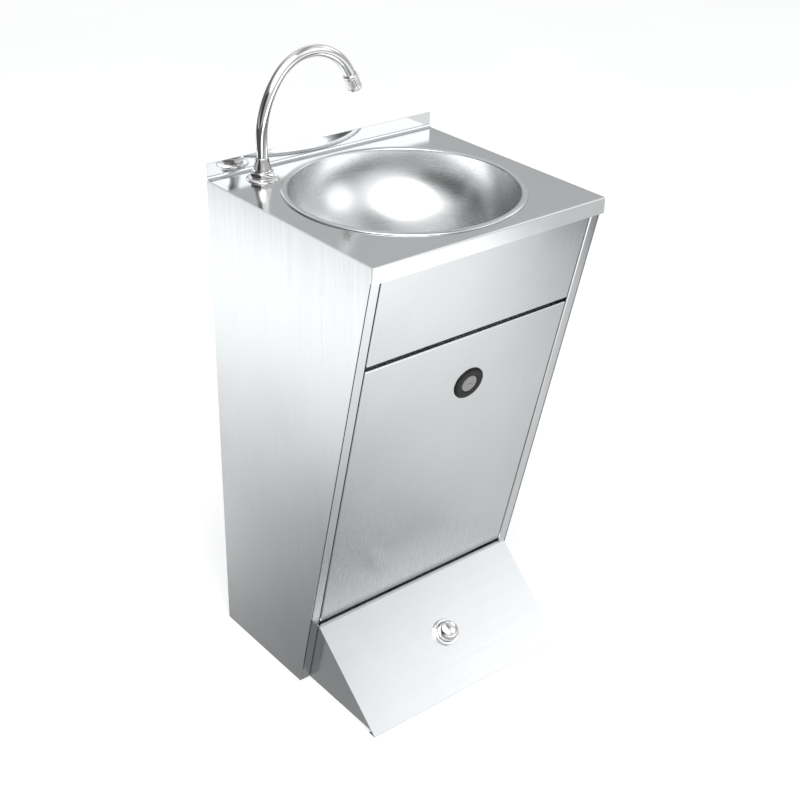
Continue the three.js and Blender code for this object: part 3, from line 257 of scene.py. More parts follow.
def mesh_of(name, grids, facing=None):
    """Welds grids, each (points, wrap_rows, wrap_columns), into one mesh that faces outwards. Where
    facing is given, the sum of area times normal has to lie on its side."""
    points, faces, start = [], [], 0
    for grid, wrap_rows, wrap_columns in grids:
        points.append(grid.reshape(-1, 3))
        faces.append(grid_faces(grid.shape[:2], wrap_rows, wrap_columns) + start)
        start += len(points[-1])
    made = bpy.data.meshes.new(name)
    made.from_pydata(np.concatenate(points).tolist(), [], np.concatenate(faces).tolist())
    shape = bmesh.new()
    shape.from_mesh(made)
    bmesh.ops.remove_doubles(shape, verts=shape.verts, dist=WELD)
    bmesh.ops.dissolve_degenerate(shape, edges=shape.edges, dist=WELD)
    bmesh.ops.recalc_face_normals(shape, faces=shape.faces)
    shape.to_mesh(made)
    shape.free()
    if facing is not None:
        areas, normals = per_item(made.polygons, "area"), per_item(made.polygons, "normal", 3)
        if areas @ normals @ np.asarray(facing) < 0:
            made.flip_normals()
    return made


# %% [markdown]
# ## Finishing a piece
# Solidify gives a skin its sheet thickness, Boolean cuts the holes that a punch would make, and a
# small Bevel breaks the sharp edges, because a real edge is never sharp and its highlight is what
# makes it look real. The result is kept as plain mesh, at the origin, riding on its body.

# %% Finishing helpers
stands = {}


def settle(thing):
    """Replaces an object's mesh by what its modifiers make of it."""
    seen = bpy.context.evaluated_depsgraph_get()
    seen.update()
    finished = bpy.data.meshes.new_from_object(thing.evaluated_get(seen))
    thing.modifiers.clear()
    thing.data = finished


def loose_object(mesh):
    """Puts a mesh in the scene, under its own name."""
    thing = bpy.data.objects.new(mesh.name, mesh)
    bpy.context.scene.collection.objects.link(thing)
    return thing


def boolean(thing, tools, operation):
    """Cuts tools from an object, or joins them to it, and removes the tools."""
    for tool in tools:
        other = loose_object(tool)
        step = thing.modifiers.new("tool", "BOOLEAN")
        step.operation, step.solver, step.object = operation, "EXACT", other
        settle(thing)
        bpy.data.objects.remove(other)


def piece(name, mesh, body, slot, material, stands_for=(), sheet=0.0, cuts=(), joins=(),
          bevel=0.0, bevel_angle=35, smooth=35):
    """Finishes a mesh as a named piece: thickness, holes, broken edges, material, body and slot."""
    mesh.name = name
    thing = loose_object(mesh)
    if sheet:
        wall = thing.modifiers.new("sheet", "SOLIDIFY")
        wall.thickness, wall.offset, wall.use_even_offset = sheet, -1, True
        settle(thing)
    boolean(thing, joins, "UNION")
    boolean(thing, cuts, "DIFFERENCE")
    if bevel:
        edge = thing.modifiers.new("edge", "BEVEL")
        edge.width, edge.segments, edge.limit_method = bevel, 2, "ANGLE"
        edge.angle_limit, edge.use_clamp_overlap = math.radians(bevel_angle), True
        settle(thing)
    thing.data.polygons.foreach_set("use_smooth", np.ones(len(thing.data.polygons), bool))
    points = per_item(thing.data.vertices, "co", 3)
    points[:, 2] = np.maximum(points[:, 2], 0.0)  # nothing goes below the floor
    thing.data.vertices.foreach_set("co", points.ravel())
    thing.data.set_sharp_from_angle(angle=math.radians(smooth))
    flatten = thing.modifiers.new("normals", "WEIGHTED_NORMAL")
    flatten.keep_sharp, flatten.weight = True, 100
    settle(thing)
    thing.data.name = name
    thing.data.materials.clear()
    thing.data.materials.append(material)
    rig.ride(thing, body)
    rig.replaces(thing, *stands_for)
    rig.slot(thing, slot)
    stands.update({name: node_name for node_name in stands_for})
    return thing


# %% [markdown]
# ## Profiles
# Turned parts are a profile carried round an axis, and folded parts a profile carried along a
# line. A lathe tool and a press brake both leave rounded corners, so one helper rounds the
# corners of any profile before it is carried.

# %% Profile helpers
TAU = 2 * math.pi


def rounded(points, radius, steps=4, closed=True):
    """Each corner gives way to a curve that starts and ends radius away from it, at most half an
    edge away: a blend of the two edge points and the corner, weighted (1-t)^2, 2t(1-t), t^2."""
    corner = np.asarray(points, float)
    before, after = np.roll(corner, 1, 0), np.roll(corner, -1, 0)
    reach = np.broadcast_to(np.asarray(radius, float), len(corner))[:, None]

    def edge_point(other):
        """The point on the edge towards another corner where the curve takes over."""
        span = np.linalg.norm(other - corner, axis=1, keepdims=True)
        return corner + (other - corner) * np.minimum(reach / np.maximum(span, 1e-9), 0.499)

    start, end = edge_point(before), edge_point(after)
    t = np.linspace(0, 1, steps + 1)[None, :, None]
    curve = ((1 - t) ** 2 * start[:, None] + 2 * t * (1 - t) * corner[:, None]
             + t ** 2 * end[:, None])
    if not closed:
        curve[0], curve[-1] = corner[0], corner[-1]
    return curve.reshape(-1, corner.shape[1])


def arc(centre, radius, start, end, steps):
    """Points on a circle's arc, angles in degrees."""
    angle = np.radians(np.linspace(start, end, steps + 1))
    return np.stack([centre[0] + radius * np.cos(angle), centre[1] + radius * np.sin(angle)], -1)


def turned(profile, turns=96, flute=None):
    """Carries a (radius, height) profile round Z: x = r cos a, y = r sin a. A flute scales the
    radius by a function of the profile's heights and the angle."""
    profile = np.asarray(profile, float)
    angle = np.arange(turns) * TAU / turns
    radius = np.repeat(profile[:, :1], turns, 1)
    if flute is not None:
        radius = radius + flute(profile[:, 1:], angle[None, :])
    height = np.repeat(profile[:, 1:], turns, 1)
    return np.stack([radius * np.cos(angle), radius * np.sin(angle), height], -1)


def turned_mesh(name, profile, origin, out=UP, turns=96, closed=True, flute=None, across=ACROSS):
    """A turned part, set in its place. A closed profile makes a ring, and an open one ends on the
    axis."""
    grid = set_in(turned(profile, turns, flute), origin, out, across)
    return mesh_of(name, [(grid, closed, True)])


def punch(radius, below, above, origin, out, turns=48, across=ACROSS):
    """A round tool for cutting a hole, from below to above its origin."""
    profile = [(0, -below), (radius, -below), (radius, above), (0, above)]
    return turned_mesh("punch", profile, origin, out, turns, False, across=across)


def capped(grid):
    """A tube's grid with its two ends drawn in to their middles."""
    ends = [np.broadcast_to(grid[i].mean(0), grid[:1].shape) for i in (0, -1)]
    return np.concatenate([ends[0], grid, ends[1]])


def along_x(profile, x):
    """A (y, z) profile repeated at every x."""
    rows = np.repeat(profile[:, None], len(x), 1)
    return np.concatenate([np.broadcast_to(x[None, :, None], rows.shape[:2] + (1,)), rows], -1)


def swept(path, radius, sides=32, side_hint=np.array([0.31, 0.83, 0.46])):
    """A tube: a circle at each point of a path. Its two sideways axes are carried along the path
    by taking out of the last one whatever lies along the new direction."""
    path = np.asarray(path, float)
    ahead = np.gradient(path, axis=0)
    ahead /= np.linalg.norm(ahead, axis=1, keepdims=True)
    first = [side_hint]
    for direction in ahead:
        held = first[-1] - direction * (first[-1] @ direction)
        first.append(held / np.linalg.norm(held))
    first = np.array(first[1:])
    second = np.cross(ahead, first)
    angle = (np.arange(sides) * TAU / sides)[None, :, None]
    radius = np.broadcast_to(radius, len(path))[:, None, None]
    return path[:, None] + (first[:, None] * np.cos(angle) + second[:, None] * np.sin(angle)) * radius


def smooth_path(points, per_span=10):
    """A curve through all the points: on each span, a cubic whose slopes come from the
    neighbours, with knots spaced by the square root of the distance."""
    p = np.asarray(points, float)
    p = np.concatenate([[2 * p[0] - p[1]], p, [2 * p[-1] - p[-2]]])
    knot = np.sqrt(np.linalg.norm(np.diff(p, axis=0), axis=1))
    d0, d1, d2 = (k[:, None] for k in (knot[:-2], knot[1:-1], knot[2:]))
    p0, p1, p2, p3 = p[:-3], p[1:-2], p[2:-1], p[3:]
    slope1 = ((p1 - p0) / d0 - (p2 - p0) / (d0 + d1) + (p2 - p1) / d1) * d1
    slope2 = ((p2 - p1) / d1 - (p3 - p1) / (d1 + d2) + (p3 - p2) / d2) * d1
    t = np.linspace(0, 1, per_span, endpoint=False)[None, :, None]
    p1, p2, slope1, slope2 = (a[:, None] for a in (p1, p2, slope1, slope2))
    curve = ((2 * t ** 3 - 3 * t ** 2 + 1) * p1 + (t ** 3 - 2 * t ** 2 + t) * slope1
             + (3 * t ** 2 - 2 * t ** 3) * p2 + (t ** 3 - t ** 2) * slope2)
    return np.concatenate([curve.reshape(-1, 3), p[-2:-1]])


def rounded_rectangle(half_x, half_y, radius, steps=6):
    """Points round a rectangle with arc corners, starting at the right, anticlockwise."""
    angle = np.linspace(0, math.pi / 2, steps + 1)
    sides = []
    for i, (sx, sy) in enumerate([(1, 1), (-1, 1), (-1, -1), (1, -1)]):
        a = angle + i * math.pi / 2
        sides.append(np.stack([sx * (half_x - radius) + radius * np.cos(a),
                               sy * (half_y - radius) + radius * np.sin(a)], -1))
    return np.concatenate(sides)


# %% [markdown]
# ## Materials: a way to write nodes
# Each finish is a small node tree on a Principled shader. Values that are the same all over sit on
# the shader's own sockets. What varies over the surface comes from noise on Object coordinates,
# so a pattern stays put on its piece when the piece moves.

# %% Node helpers
def node(tree, kind, sockets=None, **properties):
    """Adds a shader node. A socket's value may be a number, a colour or another node's output."""
    made = tree.nodes.new("ShaderNode" + kind)
    for key, value in properties.items():
        setattr(made, key, value)
    for key, value in (sockets or {}).items():
        if isinstance(value, bpy.types.NodeSocket):
            tree.links.new(value, made.inputs[key])
        else:
            made.inputs[key].default_value = value
    return made


def new_finish(name, **sockets):
    """A material with an empty tree but for its shader and output: (material, tree, shader)."""
    material = bpy.data.materials.new(name)
    material.use_nodes = True
    tree = material.node_tree
    tree.nodes.clear()
    shader = node(tree, "BsdfPrincipled", {k.replace("_", " "): v for k, v in sockets.items()})
    output = node(tree, "OutputMaterial", {"Surface": shader.outputs["BSDF"]})
    output.location = (300, 0)
    return material, tree, shader


def place(tree, lean=0.0):
    """Object coordinates, turned about X so that a leaning face stands upright in them."""
    where = node(tree, "TexCoord").outputs["Object"]
    if not lean:
        return where
    return node(tree, "Mapping", {"Vector": where, "Rotation": (-lean, 0, 0)}).outputs["Vector"]


def noise(tree, where, scale, detail=3.0, stretch=(1, 1, 1), rough=0.55):
    """Noise between 0 and 1. Stretch is how many times faster it runs along each axis."""
    laid = node(tree, "Mapping", {"Vector": where, "Scale": stretch}).outputs["Vector"]
    return node(tree, "TexNoise", {"Vector": laid, "Scale": scale, "Detail": detail,
                                   "Roughness": rough}).outputs["Fac"]


def spread(tree, value, low, high, from_low=0.3, from_high=0.7, kind="LINEAR"):
    """Maps a value from one span to another."""
    return node(tree, "MapRange", {"Value": value, "From Min": from_low, "From Max": from_high,
                                   "To Min": low, "To Max": high},
                interpolation_type=kind).outputs["Result"]


def blend_of(tree, factor, first, second):
    """A colour between two."""
    mix = node(tree, "Mix", data_type="RGBA")
    for index, value in ((0, factor), (6, first), (7, second)):
        if isinstance(value, bpy.types.NodeSocket):
            tree.links.new(value, mix.inputs[index])
        else:
            mix.inputs[index].default_value = value
    return mix.outputs[2]


def total(tree, *values):
    """The sum of values."""
    result = values[0]
    for value in values[1:]:
        result = node(tree, "Math", {0: result, 1: value}, operation="ADD").outputs[0]
    return result


def bump(tree, height, distance, strength=1.0, under=None):
    """A normal from a height; under is a normal that lies below it."""
    sockets = {"Height": height, "Distance": distance, "Strength": strength}
    if under is not None:
        sockets["Normal"] = under
    return node(tree, "Bump", sockets).outputs["Normal"]


def specks(tree, where, scale, detail, rough, start, full, strength=1.0):
    """Scattered marks: the peaks of a noise, from none at start to full strength at full."""
    peaks = noise(tree, where, scale, detail, rough=rough)
    return spread(tree, peaks, 0.0, strength, start, full, "SMOOTHSTEP")


def grey(value, tint=(1.0, 1.0, 1.0)):
    """A grey of one value, with a tint."""
    return tuple(value * t for t in tint) + (1.0,)


def lay_on(tree, shader, colour, gloss, normal):
    """Links the three things that vary over a surface to its shader."""
    for socket, value in (("Base Color", colour), ("Roughness", gloss), ("Normal", normal)):
        tree.links.new(value, shader.inputs[socket])


# %% [markdown]
# ## Brushed stainless sheet
# Sheet with a number 4 finish has short parallel scratches. Seen close, they are fine streaks in
# the gloss, and seen from afar they only soften the reflections. Three layers make it: drawn-out
# noise for the grain, wide soft clouds where the sheet was wiped, and faint handling marks.

# %% Brushed sheet
STEEL_TINT = (0.985, 1.0, 1.012)


def brushed_steel(name, grain, tone=(0.57, 0.62), roughness=0.27, lean=0.0, wear=0.025):
    """Grain is how many times faster the streaks change along each axis. Wear is how much gloss the
    handling marks take away."""
    material, tree, shader = new_finish(name, Metallic=1.0)
    where = place(tree, lean)
    fine = noise(tree, where, 1.0, 4.0, grain)
    coarse = noise(tree, where, 0.23, 2.0, grain)
    cloud = noise(tree, where, 5.0, 2.0)
    marks = specks(tree, where, 34.0, 6.0, 0.62, 0.56, 0.78)
    mixed = total(tree, spread(tree, fine, -0.25, 0.25), spread(tree, cloud, 0.1, 0.9))
    colour = blend_of(tree, mixed, grey(tone[0], STEEL_TINT), grey(tone[1], STEEL_TINT))
    gloss = total(tree, spread(tree, fine, roughness - 0.035, roughness + 0.035),
                  spread(tree, coarse, -0.012, 0.015), spread(tree, cloud, -0.02, 0.03),
                  spread(tree, marks, 0.0, wear, 0.0, 1.0))
    lay_on(tree, shader, colour, gloss, bump(tree, fine, 0.000005, 0.12))
    return material


ALONG_X, ALONG_Z = (14, 900, 900), (900, 900, 14)
# These copies of one steel differ in tone as painted light: the plinth, which faces up, is painted lightest, the
# upright sides lighter, and the leaning front darker, as painted shade. Their grain and roughness differ for real.
panel_finish = brushed_steel("panel_steel_upright", ALONG_Z, (0.62, 0.67), 0.23)
front_shaded_finish = brushed_steel("panel_steel_front", ALONG_Z, (0.58, 0.63), 0.25, LEAN)
plinth_lit_finish = brushed_steel("panel_steel_plinth", ALONG_X, (0.64, 0.7), 0.2)
inside_finish = brushed_steel("panel_steel_inside", ALONG_X, roughness=0.34)
print("brushed finishes", [m.name for m in (panel_finish, front_shaded_finish, plinth_lit_finish)])

# %% [markdown]
# ## The worktop's polish and painted sheen
# The worktop is one sheet, but its splash is polished smoother than the flat, which is brushed
# along its length, and the splash's colour is painted lighter, a painted sheen. The height of a
# point says which of the two it is, so one material does both.

# %% Worktop polish and painted sheen
SPLASH_START = TOP_Z + 0.0015
SPLASH_FULL = TOP_Z + 0.008


def worktop_steel(name):
    """Brushed below, polished above: gloss = brushed + mask (bright - brushed). Above, the colour is painted lighter
    too, a painted sheen.
    """
    material, tree, shader = new_finish(name, Metallic=1.0)
    where = place(tree)
    height = node(tree, "SeparateXYZ", {"Vector": where}).outputs["Z"]
    # Where this mask is full, the roughness drops for the polish and the colour is painted lighter as a painted sheen.
    polish_and_sheen = spread(tree, height, 0.0, 1.0, SPLASH_START, SPLASH_FULL, "SMOOTHSTEP")
    fine = noise(tree, where, 1.0, 4.0, ALONG_X)
    cloud = noise(tree, where, 6.0, 2.0)
    marks = specks(tree, where, 30.0, 6.0, 0.62, 0.55, 0.78, 0.05)
    brushed = total(tree, spread(tree, fine, 0.11, 0.16), spread(tree, cloud, -0.01, 0.02), marks)
    bright = total(tree, spread(tree, fine, 0.05, 0.075), spread(tree, cloud, -0.005, 0.02))
    drop = node(tree, "Math", {0: bright, 1: brushed}, operation="SUBTRACT").outputs[0]
    gloss = node(tree, "Math", {0: drop, 1: polish_and_sheen, 2: brushed}, operation="MULTIPLY_ADD").outputs[0]
    tone = total(tree, spread(tree, fine, -0.3, 0.3), spread(tree, cloud, 0.2, 0.8))
    flat = blend_of(tree, tone, grey(0.60, STEEL_TINT), grey(0.66, STEEL_TINT))
    # The splash's colour of 0.86, above the flat's 0.60 to 0.66, is a painted sheen, not the steel's own colour.
    colour = blend_of(tree, polish_and_sheen, flat, grey(0.86, STEEL_TINT))
    lay_on(tree, shader, colour, gloss, bump(tree, fine, 0.000012, 0.2))
    return material


work_finish = worktop_steel("panel_steel_worktop")

# %% [markdown]
# ## The bowl's finish
# A pressed bowl is finished on a turning wheel, so its lines are circles round its own axis. The
# distance from that axis drives the grain, and the satin surface spreads the lamps into soft pools.

# %% Spun satin
def spun_steel(name, roughness=0.26, lines=1500.0):
    """Noise on (distance from the bowl's axis, height) gives rings round that axis."""
    material, tree, shader = new_finish(name, Metallic=1.0)
    where = place(tree)
    split = node(tree, "SeparateXYZ", {"Vector": where})
    flat = node(tree, "CombineXYZ", {"X": split.outputs["X"], "Y": split.outputs["Y"]}).outputs[0]
    reach = node(tree, "VectorMath", {0: flat}, operation="LENGTH").outputs["Value"]
    round_lines = node(tree, "CombineXYZ", {"X": reach, "Y": split.outputs["Z"]}).outputs[0]
    fine = noise(tree, round_lines, lines, 3.0)
    cloud = noise(tree, where, 9.0, 2.0)
    spots = specks(tree, where, 46.0, 5.0, 0.6, 0.58, 0.8, 0.05)
    gloss = total(tree, spread(tree, fine, roughness - 0.03, roughness + 0.03),
                  spread(tree, cloud, -0.02, 0.025), spots)
    colour = blend_of(tree, spread(tree, cloud, 0.1, 0.9), grey(0.64, STEEL_TINT),
                      grey(0.72, STEEL_TINT))
    lay_on(tree, shader, colour, gloss, bump(tree, fine, 0.000005, 0.15))
    return material


bowl_finish = spun_steel("basin_steel_spun")

# %% [markdown]
# ## Chrome
# Chrome is almost a mirror, so its look is what it reflects. What tells it from a perfect mirror
# is dried water and wiping: patches where the gloss is a little lower, and a very slight wave in
# the plating.

# %% Chrome
CHROME_TINT = (1.0, 0.99, 0.985)


def chrome_plate(name):
    """A near mirror, duller where water has dried."""
    material, tree, shader = new_finish(name, Metallic=1.0)
    where = place(tree)
    wiping = noise(tree, where, 60.0, 4.0)
    water = specks(tree, where, 210.0, 5.0, 0.65, 0.6, 0.74)
    gloss = total(tree, spread(tree, wiping, 0.03, 0.075), spread(tree, water, 0.0, 0.06, 0.0, 1.0))
    colour = blend_of(tree, water, grey(0.83, CHROME_TINT), grey(0.78, CHROME_TINT))
    lay_on(tree, shader, colour, gloss, bump(tree, wiping, 0.00003, 0.3))
    return material


chrome_finish = chrome_plate("chrome_plate")

# %% [markdown]
# ## Zinc, nickel and moulded plastics
# Zinc plate is soft and cloudy, with a cold spangle. The latch's disc is bead-blasted nickel.
# Moulded plastic carries the mould's fine sparked texture and slight flow marks, and rubber is the
# same with more grain and no gloss.

# %% Small finishes
def zinc_plate(name):
    """Small cells for the spangle, with slow clouds over them."""
    material, tree, shader = new_finish(name, Metallic=1.0)
    where = place(tree)
    spangle = node(tree, "TexVoronoi", {"Vector": where, "Scale": 260.0}).outputs["Distance"]
    cloud = noise(tree, where, 22.0, 4.0)
    tone = total(tree, spread(tree, spangle, -0.2, 0.3, 0.0, 0.8), spread(tree, cloud, 0.1, 0.8))
    colour = blend_of(tree, tone, (0.44, 0.455, 0.47, 1.0), (0.62, 0.635, 0.64, 1.0))
    gloss = total(tree, spread(tree, cloud, 0.27, 0.42), spread(tree, spangle, -0.03, 0.05, 0.0, 0.8))
    lay_on(tree, shader, colour, gloss, bump(tree, spangle, 0.00004, 0.25))
    return material


def moulded(name, dark, light, roughness, grain=1400.0, depth=0.00003, **shader_values):
    """Moulded plastic between two close colours, with a sparked grain and slow flow marks."""
    material, tree, shader = new_finish(name, **shader_values)
    where = place(tree)
    spark = noise(tree, where, grain, 3.0)
    flow = noise(tree, where, 14.0, 3.0, (1, 1, 0.35))
    dust = specks(tree, where, 120.0, 5.0, 0.65, 0.58, 0.8)
    tone = total(tree, spread(tree, flow, 0.0, 0.8), spread(tree, dust, 0.0, 0.2, 0.0, 1.0))
    colour = blend_of(tree, tone, dark + (1.0,), light + (1.0,))
    gloss = total(tree, spread(tree, spark, roughness - 0.04, roughness + 0.06),
                  spread(tree, flow, -0.03, 0.04), spread(tree, dust, 0.0, 0.08, 0.0, 1.0))
    lay_on(tree, shader, colour, gloss, bump(tree, spark, depth, 0.4))
    return material


def blasted_nickel(name):
    """A fine even grain from the beads, worn a little by the key."""
    material, tree, shader = new_finish(name, Metallic=0.55)
    where = place(tree)
    blast = noise(tree, where, 2600.0, 2.0)
    wear = noise(tree, where, 190.0, 4.0)
    colour = blend_of(tree, spread(tree, wear, 0.0, 1.0), (0.24, 0.235, 0.23, 1.0),
                      (0.3, 0.294, 0.288, 1.0))
    gloss = total(tree, spread(tree, blast, 0.5, 0.62), spread(tree, wear, -0.04, 0.05))
    lay_on(tree, shader, colour, gloss, bump(tree, blast, 0.00002, 0.5))
    return material


zinc_finish = zinc_plate("zinc_plate")
nickel_finish = blasted_nickel("blasted_nickel")
black_finish = moulded("black_moulding", (0.004, 0.0042, 0.0045), (0.009, 0.0092, 0.0095), 0.34,
                       Specular_IOR_Level=0.22)
pump_finish = moulded("pump_moulding", (0.035, 0.038, 0.042), (0.06, 0.064, 0.07), 0.42)
rubber_finish = moulded("black_rubber", (0.012, 0.012, 0.012), (0.028, 0.027, 0.026), 0.75, 700.0,
                        0.00008)
grey_finish = moulded("grey_moulding", (0.28, 0.29, 0.3), (0.36, 0.37, 0.375), 0.4)
blue_finish = moulded("blue_moulding", (0.02, 0.085, 0.27), (0.035, 0.12, 0.34), 0.34)
tank_finish = moulded("tank_moulding", (0.66, 0.7, 0.68), (0.76, 0.79, 0.76), 0.44, 500.0, 0.00006,
                      Subsurface_Weight=0.25, Subsurface_Scale=0.012)
print("materials", len(bpy.data.materials))

# %% [markdown]
# ## The worktop
# The worktop is one folded sheet: a fascia, a bend, the flat with the bowl's hole, a cove and the
# splash. It could be a box with details cut in, but then the bends would be missing. Here a ring of
# points goes from the hole's circle to the sheet's outline, and two strips carry the bends' profiles.

# %% Worktop sheet
BEND, COVE = 0.003, 0.006
HOLE_RADIUS = 0.1818
STATIONS = 36
FASCIA_Z = work_low[2]
FRONT_Y, REAR_Y = work_low[1], work_high[1] - SHEET


def worktop_mesh():
    """The ring blends a circle into the rectangle: point = circle + t (edge - circle). Each strip
    holds one profile in y and z at every station across the sheet."""
    half = work_high[0]
    y0, y1 = FRONT_Y + BEND, REAR_Y - COVE
    run = np.linspace(0, 1, STATIONS + 1)[:-1]
    x, y = -half + 2 * half * run, y0 + (y1 - y0) * run
    edge = np.concatenate([
        np.stack([x, np.full_like(x, y0)], -1), np.stack([np.full_like(y, half), y], -1),
        np.stack([-x, np.full_like(x, y1)], -1), np.stack([np.full_like(y, -half), y1 + y0 - y], -1)])
    angle = np.arctan2(edge[:, 1], edge[:, 0])
    circle = HOLE_RADIUS * np.stack([np.cos(angle), np.sin(angle)], -1)
    t = np.linspace(0, 1, 5)[:, None, None]
    ring = circle + t * (edge - circle)
    ring = np.concatenate([ring, np.full(ring.shape[:2] + (1,), TOP_Z)], -1)
    across = np.linspace(-half, half, STATIONS + 1)
    front = np.concatenate([arc((y0, TOP_Z - BEND), BEND, 90, 180, 8), [[FRONT_Y, FASCIA_Z]]])
    rear = np.concatenate([arc((y1, TOP_Z + COVE), COVE, -90, 0, 10), [[REAR_Y, work_high[2]]]])
    strips = [(along_x(profile, across), False, False) for profile in (front, rear)]
    return mesh_of("worktop_sheet", [(ring, False, True)] + strips, UP)


SHANK_HOLE = 0.0093
spout_hole = punch(SHANK_HOLE, 0.02, 0.02, spout_foot, UP)
worktop = piece("worktop_sheet", worktop_mesh(), "cabinet", "panel_steel", work_finish, ["worktop"],
                sheet=SHEET, cuts=[spout_hole], bevel=0.0004, bevel_angle=50)
print("worktop faces", len(worktop.data.polygons))

# %% [markdown]
# ## The bowl
# The bowl is pressed from a disc: a half-round bead that lies on the worktop, a steep wall, a
# round floor and a small recess for the strainer. Its profile is the curve
# (r/R)^n + (z/D)^n = 1, a little fuller than an ellipse, carried round the axis.

# %% Bowl
BOWL_RADIUS, BOWL_DEPTH, BOWL_FULLNESS, BOWL_SHEET = 0.180, 0.145, 2.12, 0.0012
BEAD_WIDTH, BEAD_HEIGHT = 0.011, 0.003
RECESS_RADIUS, RECESS_DEPTH, DRAIN_BORE = 0.034, 0.003, 0.0213


def bowl_profile():
    """Bead: half an ellipse. Wall: r = R cos(a)^(2/n), z = -D sin(a)^(2/n). Then the recess."""
    angle = np.linspace(0, math.pi, 17)
    bead = np.stack([BOWL_RADIUS + BEAD_WIDTH / 2 * (1 + np.cos(angle)),
                     GAP + BEAD_HEIGHT * np.sin(angle)], -1)
    power = 2 / BOWL_FULLNESS
    last = math.acos((RECESS_RADIUS + 0.004) ** (1 / power) / BOWL_RADIUS ** (1 / power))
    angle = np.linspace(0.02, last, 60)
    wall = np.stack([BOWL_RADIUS * np.cos(angle) ** power, -BOWL_DEPTH * np.sin(angle) ** power], -1)
    floor = -BOWL_DEPTH - RECESS_DEPTH
    recess = rounded([wall[-1], [RECESS_RADIUS, wall[-1, 1] - 0.0012], [RECESS_RADIUS - 0.001, floor],
                      [DRAIN_BORE, floor]], 0.0015, closed=False)
    return np.concatenate([bead, wall[:-1], recess]) + [0, TOP_Z]


basin = piece("basin_bowl", mesh_of("bowl", [(turned(bowl_profile(), 160), False, True)], UP),
              "cabinet", "basin_steel", bowl_finish, ["basin"], sheet=BOWL_SHEET, smooth=50)
print("bowl faces", len(basin.data.polygons))

# %% [markdown]
# ## The strainer
# A turned flange and threaded tail with two bars across the bore. The thread is cut as a fine
# wave along the tail, which the nut below covers in part.

# %% Strainer
strainer_foot = corners("drain_strainer")[0][2]
SEAT_Z = TOP_Z - BOWL_DEPTH - RECESS_DEPTH + GAP
BORE, BAR_HALF_WIDTH, BAR_BOTTOM, BAR_TOP = 0.019, 0.0013, -0.006, -0.003
THREAD_RADIUS, THREAD_DEPTH, THREAD_PITCH = 0.0206, 0.0004, 0.0015


def bar_mesh(turn):
    """A bar with a rounded section, across the bore."""
    section = rounded([(-BAR_HALF_WIDTH, BAR_BOTTOM), (BAR_HALF_WIDTH, BAR_BOTTOM),
                       (BAR_HALF_WIDTH, BAR_TOP), (-BAR_HALF_WIDTH, BAR_TOP)], 0.0005)
    bar = np.swapaxes(along_x(section, np.array([-BORE - 0.001, BORE + 0.001])), 0, 1)
    turn_to = np.array([math.cos(turn), math.sin(turn), 0.0])
    bar = set_in(capped(bar), np.array([0, 0, SEAT_Z]), UP, turn_to)
    return mesh_of("bar", [(bar, False, True)])


tail = np.linspace(strainer_foot, SEAT_Z - 0.002, 100)
wave = THREAD_DEPTH * np.sin((tail - tail[0]) * TAU / THREAD_PITCH)
thread = np.stack([THREAD_RADIUS + wave, tail], -1)
flange = rounded([(0.021, 0), (0.031, 0), (0.031, 0.0013), (0.022, 0.0018), (BORE, -0.0015)], 0.0006)
flange += [0, SEAT_Z]
strainer_profile = np.concatenate([thread, flange, [[BORE, strainer_foot]]])
piece("strainer_body", turned_mesh("strainer", strainer_profile, np.zeros(3)), "cabinet", "chrome",
      chrome_finish, ["drain_strainer"], joins=[bar_mesh(0.0), bar_mesh(math.pi / 2)])

# %% [markdown]
# ## The front panels
# The door and the panel above it are pans: a flat face with four edges bent back. Rows of the
# grid run from the face's middle to its edge, round a quarter bend, and back along the return.
# The columns run round a rectangle with small corner radii, as a press leaves them.

# %% Folded pans
PAN_DEPTH, PAN_BEND, PAN_CORNER = 0.018, 0.0022, 0.0026


def pan_mesh(name, half_x, bottom, top):
    """Inset and depth of each row: a fan over the face, inset = R(1 - sin b) and depth =
    R(1 - cos b) round the bend, then no inset down the return."""
    half_s, centre = (top - bottom) / 2, (top + bottom) / 2
    b = np.linspace(0, math.pi / 2, 7)
    inset = np.concatenate([PAN_BEND * (1 - np.sin(b)), [0.0]])
    depth = np.concatenate([PAN_BEND * (1 - np.cos(b)), [PAN_DEPTH]])
    rings = [rounded_rectangle(half_x - e, half_s - e, max(PAN_CORNER - e, 0.0004)) for e in inset]
    fan = [rings[0] * t for t in (0.0, 0.3, 0.6, 0.85)]
    flat = np.stack(fan + rings)
    depth = np.concatenate([np.zeros(len(fan)), depth])[:, None]
    grid = on_front(flat[..., 0], depth, centre + flat[..., 1])
    return mesh_of(name, [(grid, False, True)], tuple(latch_out))


def span_up_front(node_name):
    """Where a pan starts and ends, measured up the front."""
    low, high = corners(node_name)
    return low[2] / math.cos(LEAN), (high[2] - PAN_DEPTH * math.sin(LEAN)) / math.cos(LEAN)


door_bottom, door_top = span_up_front("door_panel")
upper_bottom, upper_top = span_up_front("upper_front_panel")
pan_half = corners("door_panel")[1][0]
hinge_y, hinge_z = joints["door_hinge"]["pos_m"][1:]
BARREL_HOLE, PIN_HOLE = 0.0193, 0.0033


def pin_hole(x):
    """A drill along X on the hinge's axis."""
    return punch(PIN_HOLE, 0.006, 0.006, np.array([x, hinge_y, hinge_z]), ACROSS, 32, UP)


